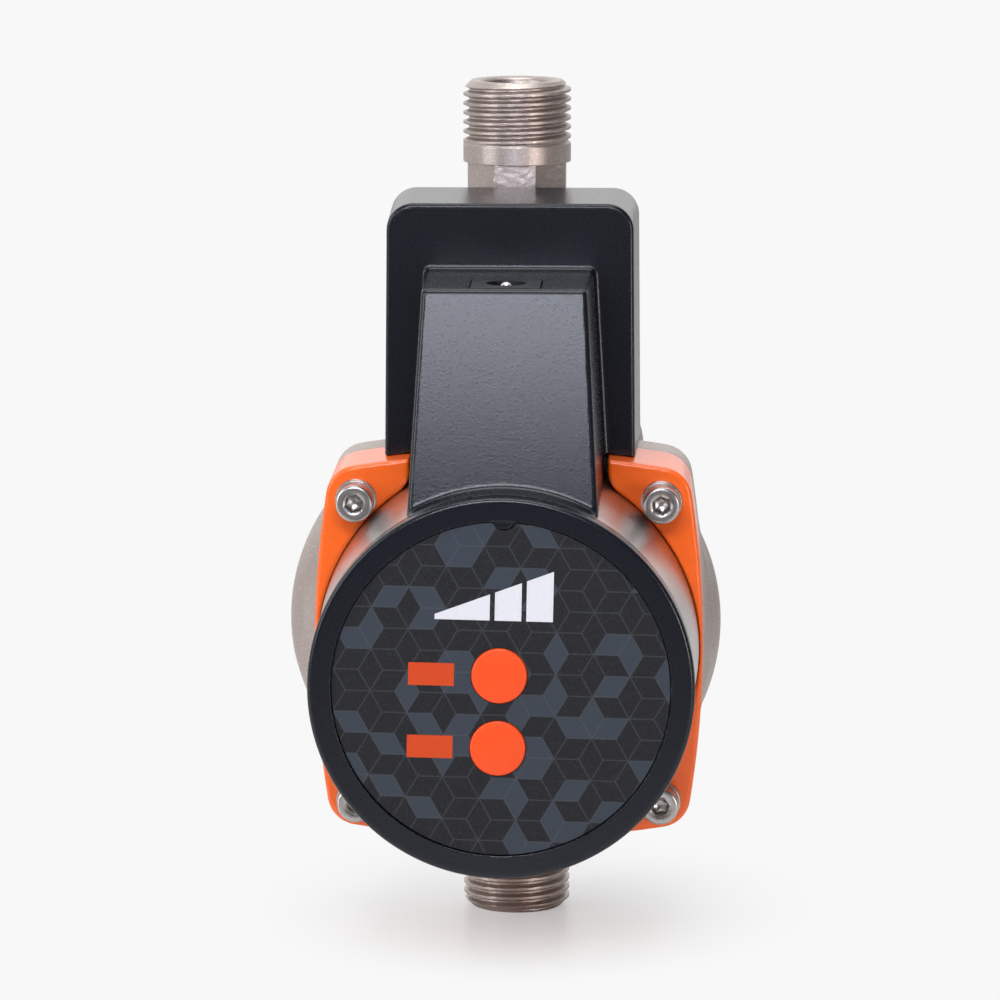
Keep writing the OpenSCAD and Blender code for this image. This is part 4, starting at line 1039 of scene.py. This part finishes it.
@dataclass
class PushButtons:
    """Two domed buttons, each riding on its own sprung body."""

    x: float = -0.35
    upper_y: float = 2.5
    pitch: float = 13.45
    radius: float = 5.1
    edge: float = 0.45
    dome: float = 0.35

    def rows(self) -> Array:
        """Rows of one button about its own axis: stem, flange, wall, round edge and a dome.

        The dome's height falls with the square of the radius.
        """
        flat, edge_back = self.radius - self.edge, PANEL_FACE - self.edge
        wall = [(1.6, 81.05), (1.6, 82.95), (6.05, 82.95), (6.05, 84.05), (self.radius, 84.05)]
        for a in np.radians(np.linspace(0, 90, 7)):
            wall.append((flat + self.edge * math.cos(a), edge_back + self.edge * math.sin(a)))
        for r in np.linspace(flat, 0.3, 12)[1:]:
            wall.append((r, PANEL_FACE + self.dome * (1 - (r / flat) ** 2)))
        return turned(wall, 96)

    def build(self) -> None:
        """Makes both buttons in place of their solids."""
        c, s = math.cos(PANEL_TURN), math.sin(PANEL_TURN)
        for name, y in (("upper_button", self.upper_y), ("lower_button", self.upper_y - self.pitch)):
            x, height = self.x * c + y * s, AXIS_H - self.x * s + y * c
            made = piece(f"{name}_cap", loft(raise_to_axis(self.rows(), x, height)), Look.BUTTON, name, 30)
            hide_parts(name)


@dataclass
class Solids:
    """The solids that keep their own shape, each given its finish."""

    looks: tuple[tuple[Look, tuple[str, ...]], ...] = (
        (Look.PANEL, ("panel_film",)),
        (Look.SMOOTH_MOULDED, ("panel_carrier", "socket_insert", "box_cover")),
        (Look.LAMP, ("indicator_lamps",)),
        (Look.WHITE, ("level_bars",)),
        (Look.BLACK, ("socket_body", "flow_sensor", "panel_switches", "float_seat", "float_stop")),
        (Look.BLACK, ("pump_side_bearing", "motor_end_bearing")),
        (Look.SCREW, ("cover_screws", "bracket_screws", "impeller_nut")),
        (Look.RUBBER, ("casing_ring_seal",)),
        (Look.SHEET, ("bearing_plate", "rotor_cup")),
        (Look.CERAMIC, ("rotor_shaft", "thrust_washers")),
        (Look.LAMINATION, ("stator_core",)),
        (Look.COPPER, ("stator_coils",)),
        (Look.FERRITE, ("rotor_magnet", "float_magnet")),
        (Look.NATURAL, ("impeller", "impeller_shroud", "flow_float")),
        (Look.BOARD, ("control_board", "display_board")),
        (Look.SLEEVE, ("board_capacitors",)),
        (Look.RIBBON, ("board_lead",)),
        (Look.WIRE, ("motor_leads", "power_leads")),
    )

    def dress(self, nodes: dict[str, Object]) -> None:
        """Gives every listed solid its finish.

        Args:
            nodes: the solids by name.
        """
        for look, names in self.looks:
            for name in names:
                mesh = nodes[name].data
                mesh.materials.clear()
                mesh.materials.append(look.value.made())
                LOG.info("%s: %s", name, look.value.name)


@dataclass
class Studio:
    """Camera, lamps, floor and backdrop; the lamps and the floor are given in metres."""

    lens: float = 197.83
    look_at: Triple = (-3.346, 0.0, 81.163)
    distance: float = 1081.6
    elevation: float = 9.463
    azimuth: float = 2.12
    lamp_aim: Triple = (0.0, -0.03, 0.08)
    floor_r: float = 8.0
    white: float = 0.939
    floor_share: float = 0.6
    front_glow: float = 0.08
    back_glow: float = 1.15

    def camera(self) -> None:
        """Places the camera at the photograph's viewing angle."""
        e, a = math.radians(self.elevation), math.radians(self.azimuth)
        back = Vector((math.sin(a) * math.cos(e), -math.cos(a) * math.cos(e), math.sin(e)))
        data = bpy.data.cameras.new("camera")
        data.lens, data.sensor_width = self.lens, 36.0
        data.clip_start, data.clip_end = 0.05, 20.0
        made = linked("camera", data)
        made.location = (Vector(self.look_at) + back * self.distance) * MM
        made.rotation_euler = (-back).to_track_quat("-Z", "Y").to_euler()
        bpy.context.scene.camera = made

    def lamp(self, name: str, place: Triple, size: Pair, power: float, colour: Triple = (1, 1, 1)) -> None:
        """A soft box lamp that faces the pump's middle."""
        data = bpy.data.lights.new(name, "AREA")
        data.shape, data.size, data.size_y, data.energy = "RECTANGLE", size[0], size[1], power
        data.color = colour
        made = linked(name, data)
        made.location = place
        made.rotation_euler = (Vector(self.lamp_aim) - Vector(place)).to_track_quat("-Z", "Y").to_euler()

    def floor(self) -> None:
        """A white floor. Near the pump the camera sees its shadow and reflection, further out only white."""
        mesh = bpy.data.meshes.new("floor")
        ring = upright(self.floor_r, turns(64), 0.0)
        mesh.from_pydata(ring.tolist(), [], [tuple(range(len(ring)))])
        made = linked("floor", mesh)
        material = bpy.data.materials.new("floor_white")
        tree = Tree(material)
        x, y, _ = tree.parts()
        # Painted shade: in front, where the camera sees only the glow, the floor's colour falls from 0.78 to
        # 0.3 between 120 and 420 mm out, so the pump's gloss reflects a darker floor
        ground = tree.mix(y.ramp(-420.0, -120.0), (0.3, 0.3, 0.3), (0.78, 0.78, 0.78))
        tree.set(Base_Color=ground, Roughness=0.32, Specular_IOR_Level=0.3)
        share = 1 - (x * x + y * y).root().ramp(12.0, 68.0)
        path = tree.add("ShaderNodeLightPath")
        seen = Num(tree, path.outputs["Is Camera Ray"]) * (1 - share * self.floor_share)
        glow = tree.add("ShaderNodeEmission", None, {"Strength": self.white})
        blend = tree.add("ShaderNodeMixShader", None, {0: seen, 1: tree.bsdf.outputs[0], 2: glow.outputs[0]})
        tree.feed(tree.out.inputs["Surface"], blend.outputs[0])
        mesh.materials.append(material)

    def world(self) -> None:
        """White behind, dim in front and on the right: what the pump's metal and gloss reflect."""
        world = bpy.data.worlds.new("studio")
        bpy.context.scene.world = world
        tree = Tree(world)
        x, y, _ = tree.parts("Generated", 1.0)
        glow = y.ramp(-0.35, 0.55, self.front_glow, self.back_glow) * x.ramp(0.25, 0.85, 1.0, 0.3, "LINEAR")
        ground = tree.add("ShaderNodeBackground", None, {"Color": (1, 1, 1), "Strength": glow})
        tree.add("ShaderNodeOutputWorld", None, {"Surface": ground.outputs[0]})

    def build(self) -> None:
        """Sets the whole studio."""
        self.camera()
        self.world()
        self.floor()
        self.lamp("overhead", (0.0, -0.2, 1.1), (0.7, 0.5), 5.0)
        self.lamp("left_box", (-0.95, -0.6, 0.45), (0.35, 0.8), 5.6)
        self.lamp("right_low", (0.85, -1.0, 0.06), (0.25, 0.4), 5.5, (1.0, 0.9, 0.87))
        self.lamp("front_key", (-0.02, -0.31, 0.232), (0.17, 0.06), 0.46, (0.84, 0.88, 1.0))
        self.lamp("front_fill", (-0.1, -1.25, 1.0), (0.7, 0.4), 2.4)
        bpy.context.scene.view_settings.view_transform = "Standard"


def main() -> None:
    """Builds the scene in order."""
    logging.basicConfig(level=logging.INFO, format="%(name)s: %(message)s")
    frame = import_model()
    Studio().build()
    body = Casting().build()
    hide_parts("pump_casing", "inlet_port", "outlet_port")
    PortThread().build()
    PaintedFlange().build()
    MotorCan().build()
    FlangeScrews().build()
    ControlHousing().build()
    SocketPin().build()
    PushButtons().build()
    Solids().dress(frame["nodes"])


if __name__ == "__main__":
    main()
